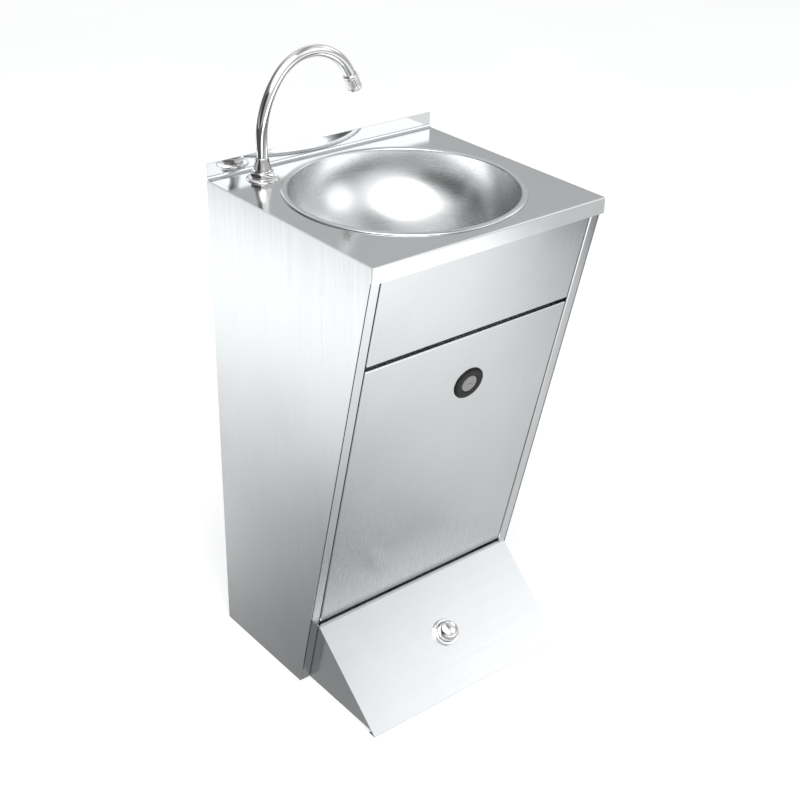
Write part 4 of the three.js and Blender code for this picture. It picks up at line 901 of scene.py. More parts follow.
barrel_hole = punch(BARREL_HOLE, 0.01, 0.01, latch_point, latch_out, 64)
door = piece("door_skin", pan_mesh("door", pan_half, door_bottom, door_top), "door", "panel_steel",
             front_shaded_finish, ["door_panel"], sheet=SHEET, bevel=0.0003, bevel_angle=60,
             cuts=[barrel_hole, pin_hole(-pan_half), pin_hole(pan_half)])
piece("upper_skin", pan_mesh("upper", pan_half, upper_bottom, upper_top), "cabinet", "panel_steel",
      front_shaded_finish, ["upper_front_panel"], sheet=SHEET, bevel=0.0003, bevel_angle=60)
print("door from", round(door_bottom, 4), "to", round(door_top, 4), "faces", len(door.data.polygons))

# %% [markdown]
# ## The front posts
# Each post is an angle: a narrow face beside the side panel and a return beside the door. The
# profile has one bend and is carried up the leaning front. The post's top is hidden by the worktop.

# %% Stiles
STILE_RETURN = 0.022
stile_low, stile_high = corners("right_stile")


def stile_mesh(side):
    """The profile runs in from the outer edge, round the bend and back along the return."""
    inner = stile_low[0]
    top = (stile_high[2] - STILE_RETURN * math.sin(LEAN)) / math.cos(LEAN)
    bend = arc((inner + PAN_BEND, PAN_BEND), PAN_BEND, -90, -180, 6)
    profile = np.concatenate([[[stile_high[0], 0.0]], bend, [[inner, STILE_RETURN]]])
    s = np.linspace(0.0, top, 3)[None, :]
    grid = on_front(side * profile[:, :1], profile[:, 1:], s)
    return mesh_of("stile", [(grid, False, False)], (-side * 0.4, latch_out[1], latch_out[2]))


for side, word in ((-1, "left"), (1, "right")):
    piece(f"{word}_post", stile_mesh(side), "cabinet", "panel_steel", panel_finish, [f"{word}_stile"],
          sheet=SHEET, cuts=[pin_hole(side * stile_low[0])], bevel=0.0003, bevel_angle=60)

# %% [markdown]
# ## The kick plinth
# The plinth is a bent sheet with a toe flange, a sloping face and a ledge, and two cheeks joined
# under it a little way in. The face's edge therefore stands proud of the cheek and shows as a thin
# bright line. The button's hole is punched square to the slope.

# %% Plinth
plinth_low, plinth_high = corners("kick_plinth")
SLOPE = math.atan2(button_out[2], -button_out[1])
TOE_FLANGE, CHEEK_DEPTH, BUTTON_HOLE = 0.016, 0.018, 0.0212
CHEEK_X = stile_low[0] - 0.0005
toe_y = plinth_low[1]
crest_y = toe_y + plinth_high[2] * math.tan(SLOPE)
ledge_y = FOOT_Y - plinth_high[2] * math.tan(LEAN) - SHEET


def strip_mesh(name, profile, low, high, facing):
    """A (y, z) profile carried along X."""
    return mesh_of(name, [(along_x(profile, np.linspace(low, high, 3)), False, False)], facing)


def slab_mesh(name, outline, low, high):
    """A flat plate across X between low and high, with a (y, z) outline that bulges outwards."""
    plate = np.swapaxes(along_x(np.asarray(outline), np.array([low, high])), 0, 1)
    return mesh_of(name, [(capped(plate), False, True)])


plinth_half, ledge_z = plinth_high[0], plinth_high[2]
plinth_profile = rounded([(toe_y + TOE_FLANGE, 0.0), (toe_y, 0.0), (crest_y, ledge_z),
                          (ledge_y, ledge_z)], 0.0016, 6, closed=False)
tongue_front, tongue_back = crest_y + 0.003, ledge_y + CHEEK_DEPTH
tongue = slab_mesh("tongue", [(tongue_front, ledge_z - SHEET), (tongue_back, ledge_z - SHEET),
                              (tongue_back, ledge_z), (tongue_front, ledge_z)], -CHEEK_X, CHEEK_X)
under = SHEET * 0.6
cheek_outline = rounded([(toe_y + 0.0035, 0.0), (FOOT_Y + CHEEK_DEPTH, 0.0),
                         (tongue_back, ledge_z - under), (crest_y + under, ledge_z - under)],
                        0.0004, 2)
cheeks = [slab_mesh("cheek", cheek_outline, side * (CHEEK_X - SHEET), side * CHEEK_X)
          for side in (-1, 1)]
button_hole = punch(BUTTON_HOLE, 0.012, 0.008, button_foot, button_out, 72)
plinth_sheet = strip_mesh("plinth", plinth_profile, -plinth_half, plinth_half, button_out)
plinth = piece("plinth_shell", plinth_sheet, "cabinet", "panel_steel", plinth_lit_finish, ["kick_plinth"],
               sheet=SHEET, joins=[tongue] + cheeks, cuts=[button_hole], bevel=0.0003, bevel_angle=50)
print("plinth slope", round(math.degrees(math.pi / 2 - SLOPE), 2), "faces", len(plinth.data.polygons))

# %% [markdown]
# ## The spout's foot
# Four chromed turnings stand on each other: a dished washer, a hexagon, a tapered collar and the
# tube. A hexagon is a turning too: its radius at an angle is the flat's distance divided by the
# cosine of the angle from the flat's middle, and a cone trims the corners as the lathe does.

# %% Spout foot
HEX_BOTTOM, HEX_HEIGHT, HEX_RADIUS = 0.0046, 0.008, 0.020
CONE_BOTTOM = HEX_BOTTOM + HEX_HEIGHT + GAP
CONE_HEIGHT = 0.021
HEX_TURN = math.radians(50)
HEX_CHAMFER = 0.5  # the trimming cone rises this much for each unit outwards


def hexagon_mesh(name, radius, bottom, top, bore, turn, origin):
    """r(a) = flat / cos(a from the flat's middle), held under a cone near both ends. The bore's two
    rows close the section."""
    heights = np.concatenate([np.linspace(bottom, bottom + radius * 0.16, 5),
                              np.linspace(top - radius * 0.16, top, 5)])
    columns = 144
    a = np.arange(columns) * TAU / columns
    off = (a % (math.pi / 3)) - math.pi / 6
    flat = radius * math.cos(math.pi / 6)
    reach = np.minimum(heights - bottom, top - heights)[:, None]
    outer = np.minimum(flat / np.cos(off)[None, :], flat * 0.985 + reach / HEX_CHAMFER)
    r = np.concatenate([outer, np.full((2, columns), bore)])
    z = np.repeat(np.append(heights, [top, bottom])[:, None], columns, 1)
    grid = np.stack([r * np.cos(a + turn), r * np.sin(a + turn), z], -1)
    return mesh_of(name, [(grid + origin, True, True)])


FOOT_BORE = 0.0083
flange_profile = rounded([(FOOT_BORE, GAP), (0.026, GAP), (0.026, 0.0012), (0.0235, 0.0030),
                          (0.018, 0.0043), (FOOT_BORE, 0.0043)],
                         [0.0001, 0.0002, 0.0006, 0.002, 0.002, 0.0001], 6)
piece("dished_washer", turned_mesh("washer", flange_profile, spout_foot, turns=128), "cabinet",
      "chrome", chrome_finish, ["spout_flange"])
hexagon = hexagon_mesh("hexagon", HEX_RADIUS, HEX_BOTTOM, HEX_BOTTOM + HEX_HEIGHT, FOOT_BORE,
                       HEX_TURN, spout_foot)
piece("hexagon_base", hexagon, "cabinet", "chrome", chrome_finish, ["spout_hex_base"], bevel=0.0004,
      bevel_angle=25, smooth=25)
cone_profile = rounded([(0.0093, 0), (0.0145, 0), (0.0145, 0.0032), (0.0118, 0.014),
                        (0.0106, CONE_HEIGHT), (0.0093, CONE_HEIGHT)],
                       [0.0002, 0.0008, 0.002, 0.006, 0.0006, 0.0003], 8) + [0, CONE_BOTTOM]
piece("tapered_collar", turned_mesh("collar", cone_profile, spout_foot, turns=128), "cabinet",
      "chrome", chrome_finish, ["spout_cone"])

# %% [markdown]
# ## The swan neck
# The tube rises straight, leans over in a wide bend that then tightens over the bowl, and ends in a
# short straight. A circle is carried along that path, and Solidify gives it a wall, so that its
# end is a real pipe end. The path's slope is the same on both sides of each join.

# %% Swan neck
TUBE_RADIUS, TUBE_WALL, STRAIGHT_END = 0.009, 0.0015, 0.008
TUBE_BOTTOM, RISER = CONE_BOTTOM + 0.001, 0.060
RISE_BEND, RISE_SWEEP, BEND_RADIUS, SWEEP = 0.150, math.radians(40), 0.080, math.radians(156)


def in_plane(x, z):
    """Points in the plane that the neck bends in."""
    return np.stack([x, np.zeros_like(x), z], -1)


wide = np.linspace(0, RISE_SWEEP, 24)[:-1]
tight = np.linspace(RISE_SWEEP, SWEEP, 56)
tight_x = RISE_BEND - (RISE_BEND - BEND_RADIUS) * math.cos(RISE_SWEEP)
tight_z = RISER + (RISE_BEND - BEND_RADIUS) * math.sin(RISE_SWEEP)
riser = in_plane(np.zeros(8), np.linspace(TUBE_BOTTOM, RISER, 9)[:-1])
bend = np.concatenate([
    in_plane(RISE_BEND * (1 - np.cos(wide)), RISER + RISE_BEND * np.sin(wide)),
    in_plane(tight_x - BEND_RADIUS * np.cos(tight), tight_z + BEND_RADIUS * np.sin(tight))])
mouth_out = np.array([math.sin(SWEEP), 0.0, math.cos(SWEEP)])
tube_end = bend[-1] + STRAIGHT_END * mouth_out
tube_path = np.concatenate([riser, bend, [tube_end]])
CLEAR = 0.00005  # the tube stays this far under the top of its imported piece
headroom = corners("spout_tube")[1][2] - TOP_Z - CLEAR
tube_path[:, 2] *= headroom / (tube_path[:, 2].max() + TUBE_RADIUS)
tube_path += spout_foot
neck = mesh_of("neck", [(swept(tube_path, TUBE_RADIUS, 56), False, True)])
piece("swan_neck", neck, "spout", "chrome", chrome_finish, ["spout_tube"], sheet=TUBE_WALL, smooth=50)
print("neck rises to", round(float(tube_path[:, 2].max() + TUBE_RADIUS), 4))

# %% [markdown]
# ## The aerator
# A sleeve screwed on the tube's end. A band of fine flutes gives the fingers a grip: on that band
# the radius falls by a cosine of the angle, faded in and out with height. A dark grid of holes
# sits inside its mouth.

# %% Aerator
mouth = tube_path[-1]
GRIP, AERATOR_END, AERATOR_RADIUS, BAND_ROWS = -0.007, 0.020, 0.0115, 16
sleeve = rounded([(0.0093, GRIP), (0.0108, GRIP), (0.0115, GRIP + 0.0008), (0.0115, -0.0030),
                  (0.0109, -0.0022), (0.0115, -0.0012), (AERATOR_RADIUS, 0.014), (0.0108, 0.0155),
                  (0.0115, 0.0168), (0.0113, AERATOR_END - 0.0006), (0.0106, AERATOR_END),
                  (0.0092, AERATOR_END), (0.0091, GAP), (0.0093, GAP)], 0.0005, 4)
band_start = int(np.argmax(sleeve[:, 1] > 0.0))
band = np.stack([np.full(BAND_ROWS, AERATOR_RADIUS), np.linspace(-0.001, 0.0138, BAND_ROWS)], -1)
sleeve = np.concatenate([sleeve[:band_start], band, sleeve[band_start:]])


def flutes(height, angle):
    """24 shallow flutes on the band's rows: the bore and the shoulders are left round."""
    rows = np.arange(len(height))[:, None] - band_start
    fade = np.clip((height + 0.0005) / 0.0008, 0, 1) * np.clip((0.0135 - height) / 0.0008, 0, 1)
    depth = -0.00035 * fade * ((rows >= 0) & (rows < BAND_ROWS))
    return depth * (0.5 + 0.5 * np.cos(24 * angle))


piece("aerator_sleeve", turned_mesh("sleeve", sleeve, mouth, mouth_out, 144, flute=flutes), "spout",
      "chrome", chrome_finish, ["aerator"], smooth=50)
insert_top, insert_bottom = AERATOR_END - 0.009, AERATOR_END - 0.002
disc = rounded([(0, insert_top), (0.0088, insert_top), (0.0088, insert_bottom), (0, insert_bottom)],
               [0, 0.0004, 0.0006, 0])
disc = turned_mesh("grid", disc, mouth, mouth_out, 96, False)
jet_angle = np.concatenate([np.arange(6) * TAU / 6, np.arange(12) * TAU / 12])
jet_ring = np.repeat([0.0024, 0.0058], [6, 12])
jets = np.stack([jet_ring * np.cos(jet_angle), jet_ring * np.sin(jet_angle),
                 np.full(18, insert_bottom)], -1)
holes = [punch(0.0009, 0.003, 0.002, jet, mouth_out, 12) for jet in set_in(jets, mouth, mouth_out)]
piece("aerator_grid", disc, "spout", "grey_plastic", grey_finish, ["aerator_insert"], cuts=holes,
      smooth=30)

# %% [markdown]
# ## The foot button
# A polished dome slides in a collar on the slope. Both are turnings. The dome's curve is a
# quarter of an ellipse that runs down into the skirt, and the collar has a rolled upper edge.

# %% Foot button
BUTTON_RADIUS, SKIRT_TOP, BUTTON_TOP, BUTTON_BOTTOM = 0.018, 0.013, 0.024, 0.010
STEM_RADIUS, STEM_END = 0.006, 0.030
COLLAR_BORE, COLLAR_RADIUS = 0.0183, 0.024
collar_profile = rounded([(COLLAR_BORE, -COLLAR_SLEEVE), (SLEEVE_RADIUS, -COLLAR_SLEEVE),
                          (SLEEVE_RADIUS, GAP), (COLLAR_RADIUS, GAP), (COLLAR_RADIUS, COLLAR_HEIGHT),
                          (0.0190, COLLAR_HEIGHT), (COLLAR_BORE, COLLAR_HEIGHT - 0.0008)],
                         [0.0003, 0.0003, 0.0002, 0.0003, 0.0034, 0.0008, 0.0004], 8)
collar = turned_mesh("collar", collar_profile, button_foot, button_out, 128)
piece("rolled_collar", collar, "cabinet", "chrome", chrome_finish, ["button_collar"], smooth=45)
dome_angle = np.linspace(0, math.pi / 2, 28)
dome = np.stack([BUTTON_RADIUS * np.cos(dome_angle),
                 SKIRT_TOP + (BUTTON_TOP - SKIRT_TOP) * np.sin(dome_angle)], -1)
dome[-1, 0] = 0.0
skirt = rounded([(0, -STEM_END), (STEM_RADIUS, -STEM_END), (STEM_RADIUS, -BUTTON_BOTTOM),
                 (BUTTON_RADIUS, -BUTTON_BOTTOM), (BUTTON_RADIUS, SKIRT_TOP - 0.001)],
                [0, 0.0006, 0.0004, 0.0006, 0], closed=False)
button = turned_mesh("button", np.concatenate([skirt, dome]), button_foot, button_out, 128, False)
piece("domed_button", button, "foot_button", "chrome", chrome_finish, ["foot_button"], smooth=45)

# %% [markdown]
# ## The latch
# A black moulded ring lies on the door round a grey disc that a key turns. The ring is crowned, and
# its inner edge falls to the disc. The disc has a narrow key slot, cut with a slot-shaped tool.

# %% Latch
RING_OUTER, RING_INNER, RING_HEIGHT = 0.029, 0.0153, 0.004
DISC_RADIUS, DISC_BACK, DISC_STEM, DISC_TIP = 0.015, -0.013, 0.005, -0.0264
SLOT_HALF_LENGTH, SLOT_HALF_WIDTH, SLOT_DEPTH = 0.0045, 0.0005, 0.003
ring_profile = rounded([(0.0175, 0.0012), (0.0175, GAP), (0.0285, GAP), (RING_OUTER, 0.0014),
                        (0.0262, 0.0036), (0.0225, RING_HEIGHT), (0.0165, 0.0034),
                        (RING_INNER, 0.0024), (RING_INNER, 0.0016)],
                       [0.0002, 0.0002, 0.0004, 0.0012, 0.003, 0.004, 0.0012, 0.0006, 0.0002], 8)
ring = turned_mesh("ring", ring_profile, latch_point, latch_out, 128)
piece("latch_ring", ring, "door", "black_plastic", black_finish, ["latch_rosette"], smooth=50)
disc_face = RING_HEIGHT - 0.001
disc_profile = rounded([(0, disc_face), (0.0144, disc_face), (DISC_RADIUS, disc_face - 0.0006),
                        (DISC_RADIUS, DISC_BACK), (DISC_STEM, DISC_BACK),
                        (DISC_STEM, DISC_TIP + 0.0035), (0.0032, DISC_TIP + 0.0035),
                        (0.0032, DISC_TIP), (0, DISC_TIP)],
                       [0, 0.0004, 0.0005, 0.0005, 0.0003, 0.0003, 0.0002, 0.0004, 0])
slot_plan = np.array([(-1, -1), (1, -1), (1, 1), (-1, 1)]) * [SLOT_HALF_LENGTH, SLOT_HALF_WIDTH]
slot_tool = np.stack([np.insert(slot_plan, 2, disc_face + z, 1) for z in (-SLOT_DEPTH, SLOT_DEPTH)])
key_slot = mesh_of("key_slot", [(set_in(capped(slot_tool), latch_point, latch_out), False, True)])
piece("latch_disc", turned_mesh("disc", disc_profile, latch_point, latch_out, 96, False), "latch",
      "satin_nickel", nickel_finish, ["latch_core"], cuts=[key_slot], smooth=35)

# %% [markdown]
# ## The tanks
# Each tank is blow-moulded: a box with soft corners, moulded ribs, a sloping shoulder and a
# threaded neck. One grid makes it. Its rows follow a profile of height and inset, its columns a
# rounded rectangle, and the shoulder blends that outline into the neck's circle.

# %% Tanks
NECK_RADIUS, NECK_HEIGHT, TANK_CORNER, TANK_FOOT = 0.027, 0.018, 0.026, 0.010
SHOULDER_RISE, SHOULDER_INSET, NECK_ROWS, TANK_WALL = 0.030, 0.022, 24, 0.0025
RIB_DEPTH, RIB_PITCH, NECK_PITCH = 0.0016, 0.045, 0.004


def tank_mesh(node_name):
    """outline(u) shrunk by each row's inset up to the shoulder, then circle(u) for the neck. The
    ribs are a squared cosine of the height that pulls the wall in, the thread a sine of it."""
    low, high = corners(node_name)
    centre, half = (low + high) / 2, (high - low) / 2
    top = high[2] - NECK_HEIGHT
    outline = rounded_rectangle(half[0], half[1], TANK_CORNER, 12)
    circle = np.arctan2(outline[:, 1] / half[1], outline[:, 0] / half[0])
    circle = NECK_RADIUS * np.stack([np.cos(circle), np.sin(circle)], -1)
    foot = arc((TANK_FOOT, TANK_FOOT), TANK_FOOT, -90, -180, 8)
    body = np.linspace(low[2] + TANK_FOOT + 0.002, top - SHOULDER_RISE - 0.004, 60)
    ribs = RIB_DEPTH * (0.5 - 0.5 * np.cos((body - body[0]) * TAU / RIB_PITCH)) ** 2
    lift = np.linspace(0, 1, 15) * math.pi / 2
    neck = np.linspace(top + 0.001, high[2], NECK_ROWS)
    inset = np.concatenate([[0.08, 0.03], foot[:, 0], ribs, SHOULDER_INSET * (1 - np.cos(lift))])
    walls = outline * (1 - inset[:, None, None] / half[:2])
    thread = 1 + 0.03 * np.sin((neck - top) * TAU / NECK_PITCH) * (neck > top + 0.003)
    flat = np.concatenate([walls, circle * thread[:, None, None]])
    heights = np.concatenate([[low[2], low[2]], low[2] + foot[:, 1], body,
                              top - SHOULDER_RISE + SHOULDER_RISE * np.sin(lift), neck])
    grid = np.concatenate([flat, np.repeat(heights[:, None, None], flat.shape[1], 1)], -1)
    grid[..., :2] += centre[:2]
    floor = np.broadcast_to([centre[0], centre[1], low[2]], grid[:1].shape)
    return mesh_of(node_name, [(np.concatenate([floor, grid]), False, True)], (0, 0, -1))


for word in ("fresh", "waste"):
    tank = piece(f"{word}_water_tank", tank_mesh(f"{word}_tank"), "cabinet", "tank_plastic",
                 tank_finish, [f"{word}_tank"], sheet=TANK_WALL, smooth=45)
    print(word, "tank faces", len(tank.data.polygons))

# %% [markdown]
# ## The caps
# Screw caps with upright ribs for grip. The skirt's radius carries a wave of the angle that fades
# out at the top edge, and each cap has a hole for its pipe.

# %% Caps
CAP_RADIUS, CAP_CHAMFER, CAP_LID, CAP_RIB, PIPE_FIT = 0.033, 0.003, 0.0037, 0.0006, 0.001
CAP_BORE = NECK_RADIUS + GAP + 0.001
WATER_PIPE, WASTE_PIPE = 0.005, 0.011


def cap_mesh(node_name, pipe):
    """The skirt's rows first, then the lid, the pipe's hole, the bore and the rim."""
    low, high = corners(node_name)
    bottom, top, hole, side = low[2], high[2], pipe + PIPE_FIT, CAP_RADIUS - CAP_RIB
    skirt = np.linspace(bottom + 0.001, top - CAP_CHAMFER, 12)
    lid = rounded([(side, top - CAP_CHAMFER), (CAP_RADIUS - CAP_CHAMFER, top), (hole, top),
                   (hole, top - CAP_LID), (CAP_BORE, top - CAP_LID), (CAP_BORE, bottom),
                   (CAP_RADIUS - 0.0008, bottom)], 0.0006)
    profile = np.concatenate([np.stack([np.full(12, side), skirt], -1), lid])
    ribbed = (np.arange(len(profile)) < 11)[:, None]

    def ribs(height, angle):
        """36 ribs, sharpened by a square root."""
        return ribbed * CAP_RIB * np.sqrt(0.5 + 0.5 * np.cos(36 * angle))

    centre = middle(node_name)
    return turned_mesh(node_name, profile, np.array([centre[0], centre[1], 0]), turns=216, flute=ribs)


piece("fresh_cap", cap_mesh("fresh_tank_cap", WATER_PIPE), "cabinet", "blue_plastic", blue_finish,
      ["fresh_tank_cap"], smooth=40)
piece("waste_cap", cap_mesh("waste_tank_cap", WASTE_PIPE), "cabinet", "grey_plastic", grey_finish,
      ["waste_tank_cap"], smooth=40)

# %% [markdown]
# ## The hoses
# Three hoses join the tanks, the pump and the spout. Each follows a smooth curve through the
# points at which an installer would clip it. The waste hose is corrugated: its radius waves with
# the distance along it, which is how a hose of that width can bend so tightly.

# %% Hoses
tank_low, tank_high = corners("fresh_tank")
tank_x, tank_y = middle("fresh_tank")[:2]
tank_floor, tank_top, tank_back = tank_low[2], tank_high[2] - NECK_HEIGHT, tank_high[1]
rise_y = tank_low[1] - 0.018
PORT_REACH, PORT_DEPTH = 0.0383, 0.048
port_in = button_foot - button_out * PORT_DEPTH
inlet, outlet = port_in - ACROSS * PORT_REACH, port_in + ACROSS * PORT_REACH
over = tank_top + 0.095
shank_x, shank_y = spout_foot[:2]
shank_end = corners("spout_shank")[0][2] - GAP

suction_points = [
    (tank_x, tank_y, tank_floor + 0.014), (tank_x, tank_y, tank_floor + 0.12),
    (tank_x, tank_y, tank_top - 0.02), (tank_x, tank_y, tank_top + 0.01),
    (tank_x, tank_y, tank_top + 0.06), (tank_x + 0.006, tank_y - 0.024, over),
    (tank_x + 0.016, rise_y + 0.03, over), (tank_x + 0.022, rise_y, over - 0.04),
    (tank_x + 0.022, rise_y, 0.2), (tank_x + 0.024, rise_y - 0.004, 0.08),
    (tank_x + 0.026, inlet[1] + 0.05, inlet[2] + 0.004), inlet + [-0.042, 0.006, 0],
    inlet + [-0.02, 0, 0], inlet]
delivery_points = [
    outlet, outlet + [0.02, 0, 0], outlet + [0.04, 0.012, 0], outlet + [0.02, 0.066, 0.002],
    (0.008, rise_y, outlet[2] + 0.02), (0.0, rise_y + 0.006, 0.12), (0.0, rise_y + 0.06, 0.24),
    (0.0, tank_y + 0.05, tank_top), (-0.02, tank_back - 0.014, tank_top + 0.11),
    (-0.11, tank_back - 0.014, shank_end - 0.18), (shank_x, shank_y + 0.006, shank_end - 0.07),
    (shank_x, shank_y, shank_end - 0.02), (shank_x, shank_y, shank_end)]
waste_top = strainer_foot - 0.024
waste_points = [
    (0, 0, waste_top), (0, 0, waste_top - 0.02), (0, 0, waste_top - 0.04),
    (0.014, 0.02, waste_top - 0.08),
    (-tank_x - 0.02, tank_y - 0.012, tank_top + 0.13), (-tank_x, tank_y, tank_top + 0.08),
    (-tank_x, tank_y, tank_top + 0.05), (-tank_x, tank_y, tank_top + 0.01),
    (-tank_x, tank_y, tank_top - 0.03)]


def hose(name, points, radius, material, slot, stands_for, ripple=0.0, pitch=0.005):
    """The radius falls by ripple (1 + cos(distance / pitch turns)) / 2 along the path."""
    path = smooth_path(points, 60 if ripple else 14)
    along = np.concatenate([[0], np.cumsum(np.linalg.norm(np.diff(path, axis=0), axis=1))])
    wave = radius - ripple * (0.5 + 0.5 * np.cos(along * TAU / pitch))
    tube = mesh_of(name, [(capped(swept(path, wave, 28)), False, True)])
    piece(name, tube, "cabinet", slot, material, [stands_for], smooth=60)
    print(name, "length", round(float(along[-1]), 3))


hose("suction_hose", suction_points, WATER_PIPE, grey_finish, "grey_plastic", "suction_pipe")
hose("delivery_hose", delivery_points, WATER_PIPE, blue_finish, "blue_plastic", "delivery_pipe")
hose("waste_hose", waste_points, WASTE_PIPE, grey_finish, "grey_plastic", "waste_pipe", 0.0014)

# %% [markdown]
# ## The parts that keep their shape
# Brackets, pins, nuts and plates are right as they are, but their edges are knife-sharp. A copy of
# each is welded, its edges are broken by a small bevel, and it gets smooth shading wherever the
# faces meet at a shallow angle. The original stays for collision.

# %% Brackets, pins and plates
EDGE = {"panel_steel": 0.0004, "zinc_steel": 0.0004, "black_plastic": 0.0005, "grey_plastic": 0.0006,
        "pump_plastic": 0.0008, "black_rubber": 0.0004, "chrome": 0.0004}
FINISH = {"panel_steel": panel_finish, "zinc_steel": zinc_finish, "black_plastic": black_finish,
          "grey_plastic": grey_finish, "pump_plastic": pump_finish, "black_rubber": rubber_finish,
          "chrome": chrome_finish}
SMOOTH_ONLY = ("pump_spring", "pump_seal")
INSIDE_ONLY = ("base_tray", "back_panel")
slot_of = {part["node"]: part["material_slot"] for part in frame["record"]["subparts"]}
bodies = frame["record"]["behaviour"]["bodies"]
body_of = {name: body for body, names in bodies.items() for name in names}


def broken_edges(name):
    """A welded copy of a node, with its coplanar triangles merged so that bevels run true."""
    shape = bmesh.new()
    shape.from_mesh(frame["nodes"][name].data)
    bmesh.ops.remove_doubles(shape, verts=shape.verts, dist=1e-6)
    bmesh.ops.dissolve_limit(shape, angle_limit=math.radians(1), verts=shape.verts, edges=shape.edges)
    made = bpy.data.meshes.new(name)
    shape.to_mesh(made)
    shape.free()
    return made


for name in sorted(set(slot_of) - set(stands.values())):
    slot = slot_of[name]
    finish = inside_finish if name in INSIDE_ONLY else FINISH[slot]
    edge = 0.0 if name in SMOOTH_ONLY else EDGE[slot]
    piece(f"{name}_finished", broken_edges(name), body_of[name], slot, finish, [name], bevel=edge,
          bevel_angle=50, smooth=40)
print("pieces", len(stands))

# %% [markdown]
# ## Floor and light
# Polished steel has almost no colour of its own: its look is the room that it mirrors. The side
# and the front lean towards the floor, so the floor is what they show. It is plain and pale to
# the eye, and to mirrored rays it glows like a lit studio sweep: dimmer by the cabinet's foot,
# where its shadow lies, and fading towards the room's dark right and far left. The glow is a
# product of steps, each a smooth change with the distance from a point or along a direction.

# %% Floor
FLOOR_GLOW = 2.3
STUDIO_WHITE = (0.985, 0.995, 1.0)
GLOW_STEPS = (  # measured how, from or along what, start and end, first and last factor
    ("DOT_PRODUCT", (0.0, -1.0, 0.0), 1.2, 1.4, 1.0, 1.45),  # a brighter front, for the fascia
    ("DISTANCE", (0.0, 0.0, 0.0), 0.25, 1.6, 0.4, 1.0),  # the shade round the cabinet
    ("DISTANCE", (-0.3, -0.05, 0.0), 0.05, 0.75, 0.36, 1.0),  # deeper beside its left foot
    ("DISTANCE", (1.35, -0.85, 0.0), 0.12, 0.42, 0.1, 1.0),  # a dark patch for the splash's end
    ("DOT_PRODUCT", (1.0, 0.45, 0.0), 0.1, 0.9, 1.0, 0.25),  # the room's dark right
    ("DOT_PRODUCT", (-0.99, 0.13, 0.0), 0.3, 0.6, 1.0, 0.58),  # the side panel's darker foot,
    ("DOT_PRODUCT", (-0.99, 0.13, 0.0), 0.7, 1.4, 1.0, 1.35),  # its bright top,
    ("DOT_PRODUCT", (-0.99, 0.13, 0.0), 1.65, 2.0, 1.0, 0.05),  # and the end of the lit sweep
)


def faded(tree, along, start, end, first, last):
    """A value that changes smoothly from first to last while along goes from start to end."""
    return spread(tree, along, first, last, start, end, "SMOOTHSTEP")


FLOOR_HALF, FLOOR_Z = 9.0, -0.0002
edges = np.array([-FLOOR_HALF, FLOOR_HALF])
floor_grid = np.stack(np.meshgrid(edges, edges, [FLOOR_Z], indexing="ij"), -1)[:, :, 0]
floor = loose_object(mesh_of("floor", [(floor_grid, False, False)], UP))
material, tree, shader = new_finish("pale_floor", Roughness=0.6, Emission_Strength=0.25)
where = place(tree)
mottle = spread(tree, noise(tree, where, 1.2, 3.0), 0.0, 1.0)
tree.links.new(blend_of(tree, mottle, grey(0.9), grey(0.93)), shader.inputs["Base Color"])
shader.inputs["Emission Color"].default_value = grey(1.0)
glow = FLOOR_GLOW
for measure, of, start, end, first, last in GLOW_STEPS:
    along = node(tree, "VectorMath", {0: where, 1: of}, operation=measure).outputs["Value"]
    step = faded(tree, along, start, end, first, last)
    glow = node(tree, "Math", {0: glow, 1: step}, operation="MULTIPLY").outputs[0]
mirrored = node(tree, "Emission", {"Color": grey(1.0, STUDIO_WHITE), "Strength": glow}).outputs[0]
rays = node(tree, "LightPath")
surface = node(tree, "MixShader", {0: rays.outputs["Is Glossy Ray"], 1: shader.outputs[0],
                                   2: mirrored}).outputs[0]
output = next(n for n in tree.nodes if n.bl_idname == "ShaderNodeOutputMaterial")
tree.links.new(surface, output.inputs["Surface"])
floor.data.materials.append(material)
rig.stage(floor)

# %% [markdown]
# ## Sky
# The upward faces mirror the studio's ceiling. It is built from soft areas on a pale dome: each is
# a lobe round a direction, full within its inner angle and gone at its outer one. Bright lobes are
# the light tents that whiten the plinth and the bowl, and dark lobes are the unlit room between.

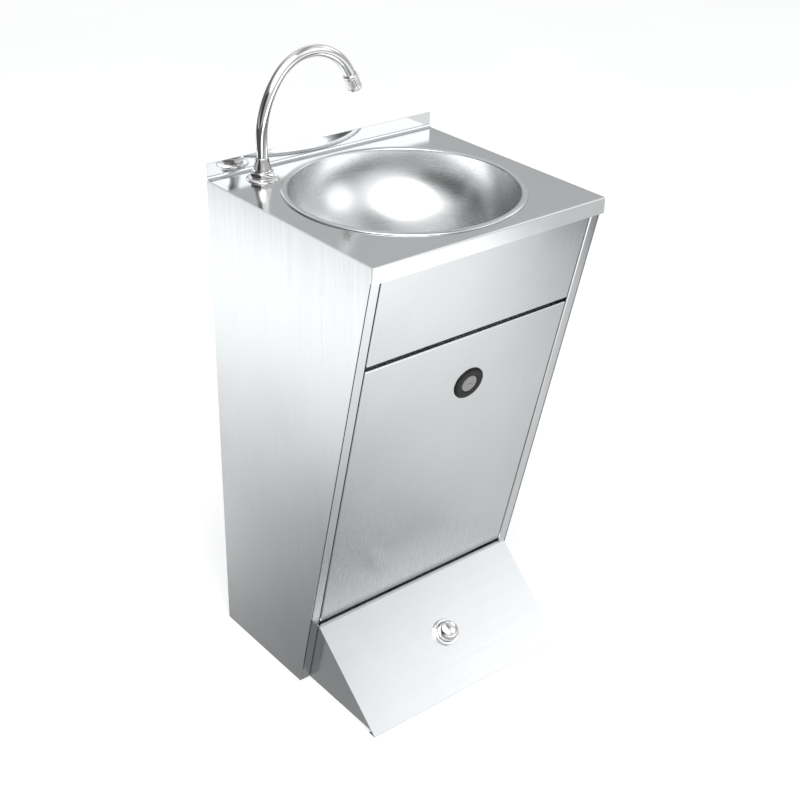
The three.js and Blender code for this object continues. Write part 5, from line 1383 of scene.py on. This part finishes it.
# %% Sky and lamp
HORIZON, ZENITH = 0.5, 0.85
LOBES = (  # towards, inner and outer angle, strength
    ((0.22, -0.3, 0.93), 5, 20, -0.5),
    ((-0.72, -0.1, 0.72), 8, 22, 0.8),
    ((0.6, -0.68, 0.44), 7, 22, 1.2),
    ((0.88, 0.02, 0.48), 5, 17, 1.3),
    ((-0.2, -0.8, 0.55), 8, 34, 0.6),
    ((-0.55, 0.68, 0.48), 8, 42, -0.5),
    ((0.38, 0.22, 0.9), 4, 20, -0.55),
    ((-0.93, -0.15, 0.33), 14, 32, -0.7),
)
world = bpy.data.worlds.new("studio")
bpy.context.scene.world = world
world.use_nodes = True
tree = world.node_tree
tree.nodes.clear()
direction = node(tree, "TexCoord").outputs["Generated"]
height = node(tree, "SeparateXYZ", {"Vector": direction}).outputs["Z"]
light = faded(tree, height, 0.0, 0.9, HORIZON, ZENITH)
for centre, inner, outer, strength in LOBES:
    unit = tuple(np.array(centre) / np.linalg.norm(centre))
    facing = node(tree, "VectorMath", {0: direction, 1: unit},
                  operation="DOT_PRODUCT").outputs["Value"]
    light = total(tree, light, faded(tree, facing, math.cos(math.radians(outer)),
                                     math.cos(math.radians(inner)), 0.0, strength))
light = node(tree, "Math", {0: light, 1: 0.05}, operation="MAXIMUM").outputs[0]
eye = node(tree, "LightPath").outputs["Is Camera Ray"]
light = node(tree, "Math", {0: light, 1: eye}, operation="MAXIMUM").outputs[0]
sky = node(tree, "Background", {"Color": grey(1.0, STUDIO_WHITE), "Strength": light}).outputs[0]
node(tree, "OutputWorld", {"Surface": sky})


def lamp(name, stands_at, aims_at, size, power):
    """A round soft lamp that faces a point."""
    data = bpy.data.lights.new(name, "AREA")
    data.shape, data.size, data.energy = "DISK", size, power
    made = bpy.data.objects.new(name, data)
    bpy.context.scene.collection.objects.link(made)
    made.location = stands_at
    made.rotation_mode = "QUATERNION"
    made.rotation_quaternion = (Vector(aims_at) - Vector(stands_at)).to_track_quat("-Z", "Y")


lamp("overhead", (-1.05, -1.25, 2.85), (0.0, 0.0, 0.75), 2.7, 50)
bpy.context.scene.view_settings.view_transform = "Standard"

# %% Sizes
TOLERANCE_MM = 0.15
for name, stood_for in stands.items():
    low, high = corners(stood_for)
    points = per_item(bpy.data.objects[name].data.vertices, "co", 3)
    off = np.round(1000 * np.concatenate([points.min(0) - low, points.max(0) - high]), 2)
    if np.abs(off).max() > TOLERANCE_MM:
        print(name, "differs in mm:", off)

with open("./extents.json", "w") as out:
    json.dump({"cad": [list(corner) for corner in cad_box],
               "visual": [list(corner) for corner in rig.bounds()]}, out)
print(open("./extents.json").read())
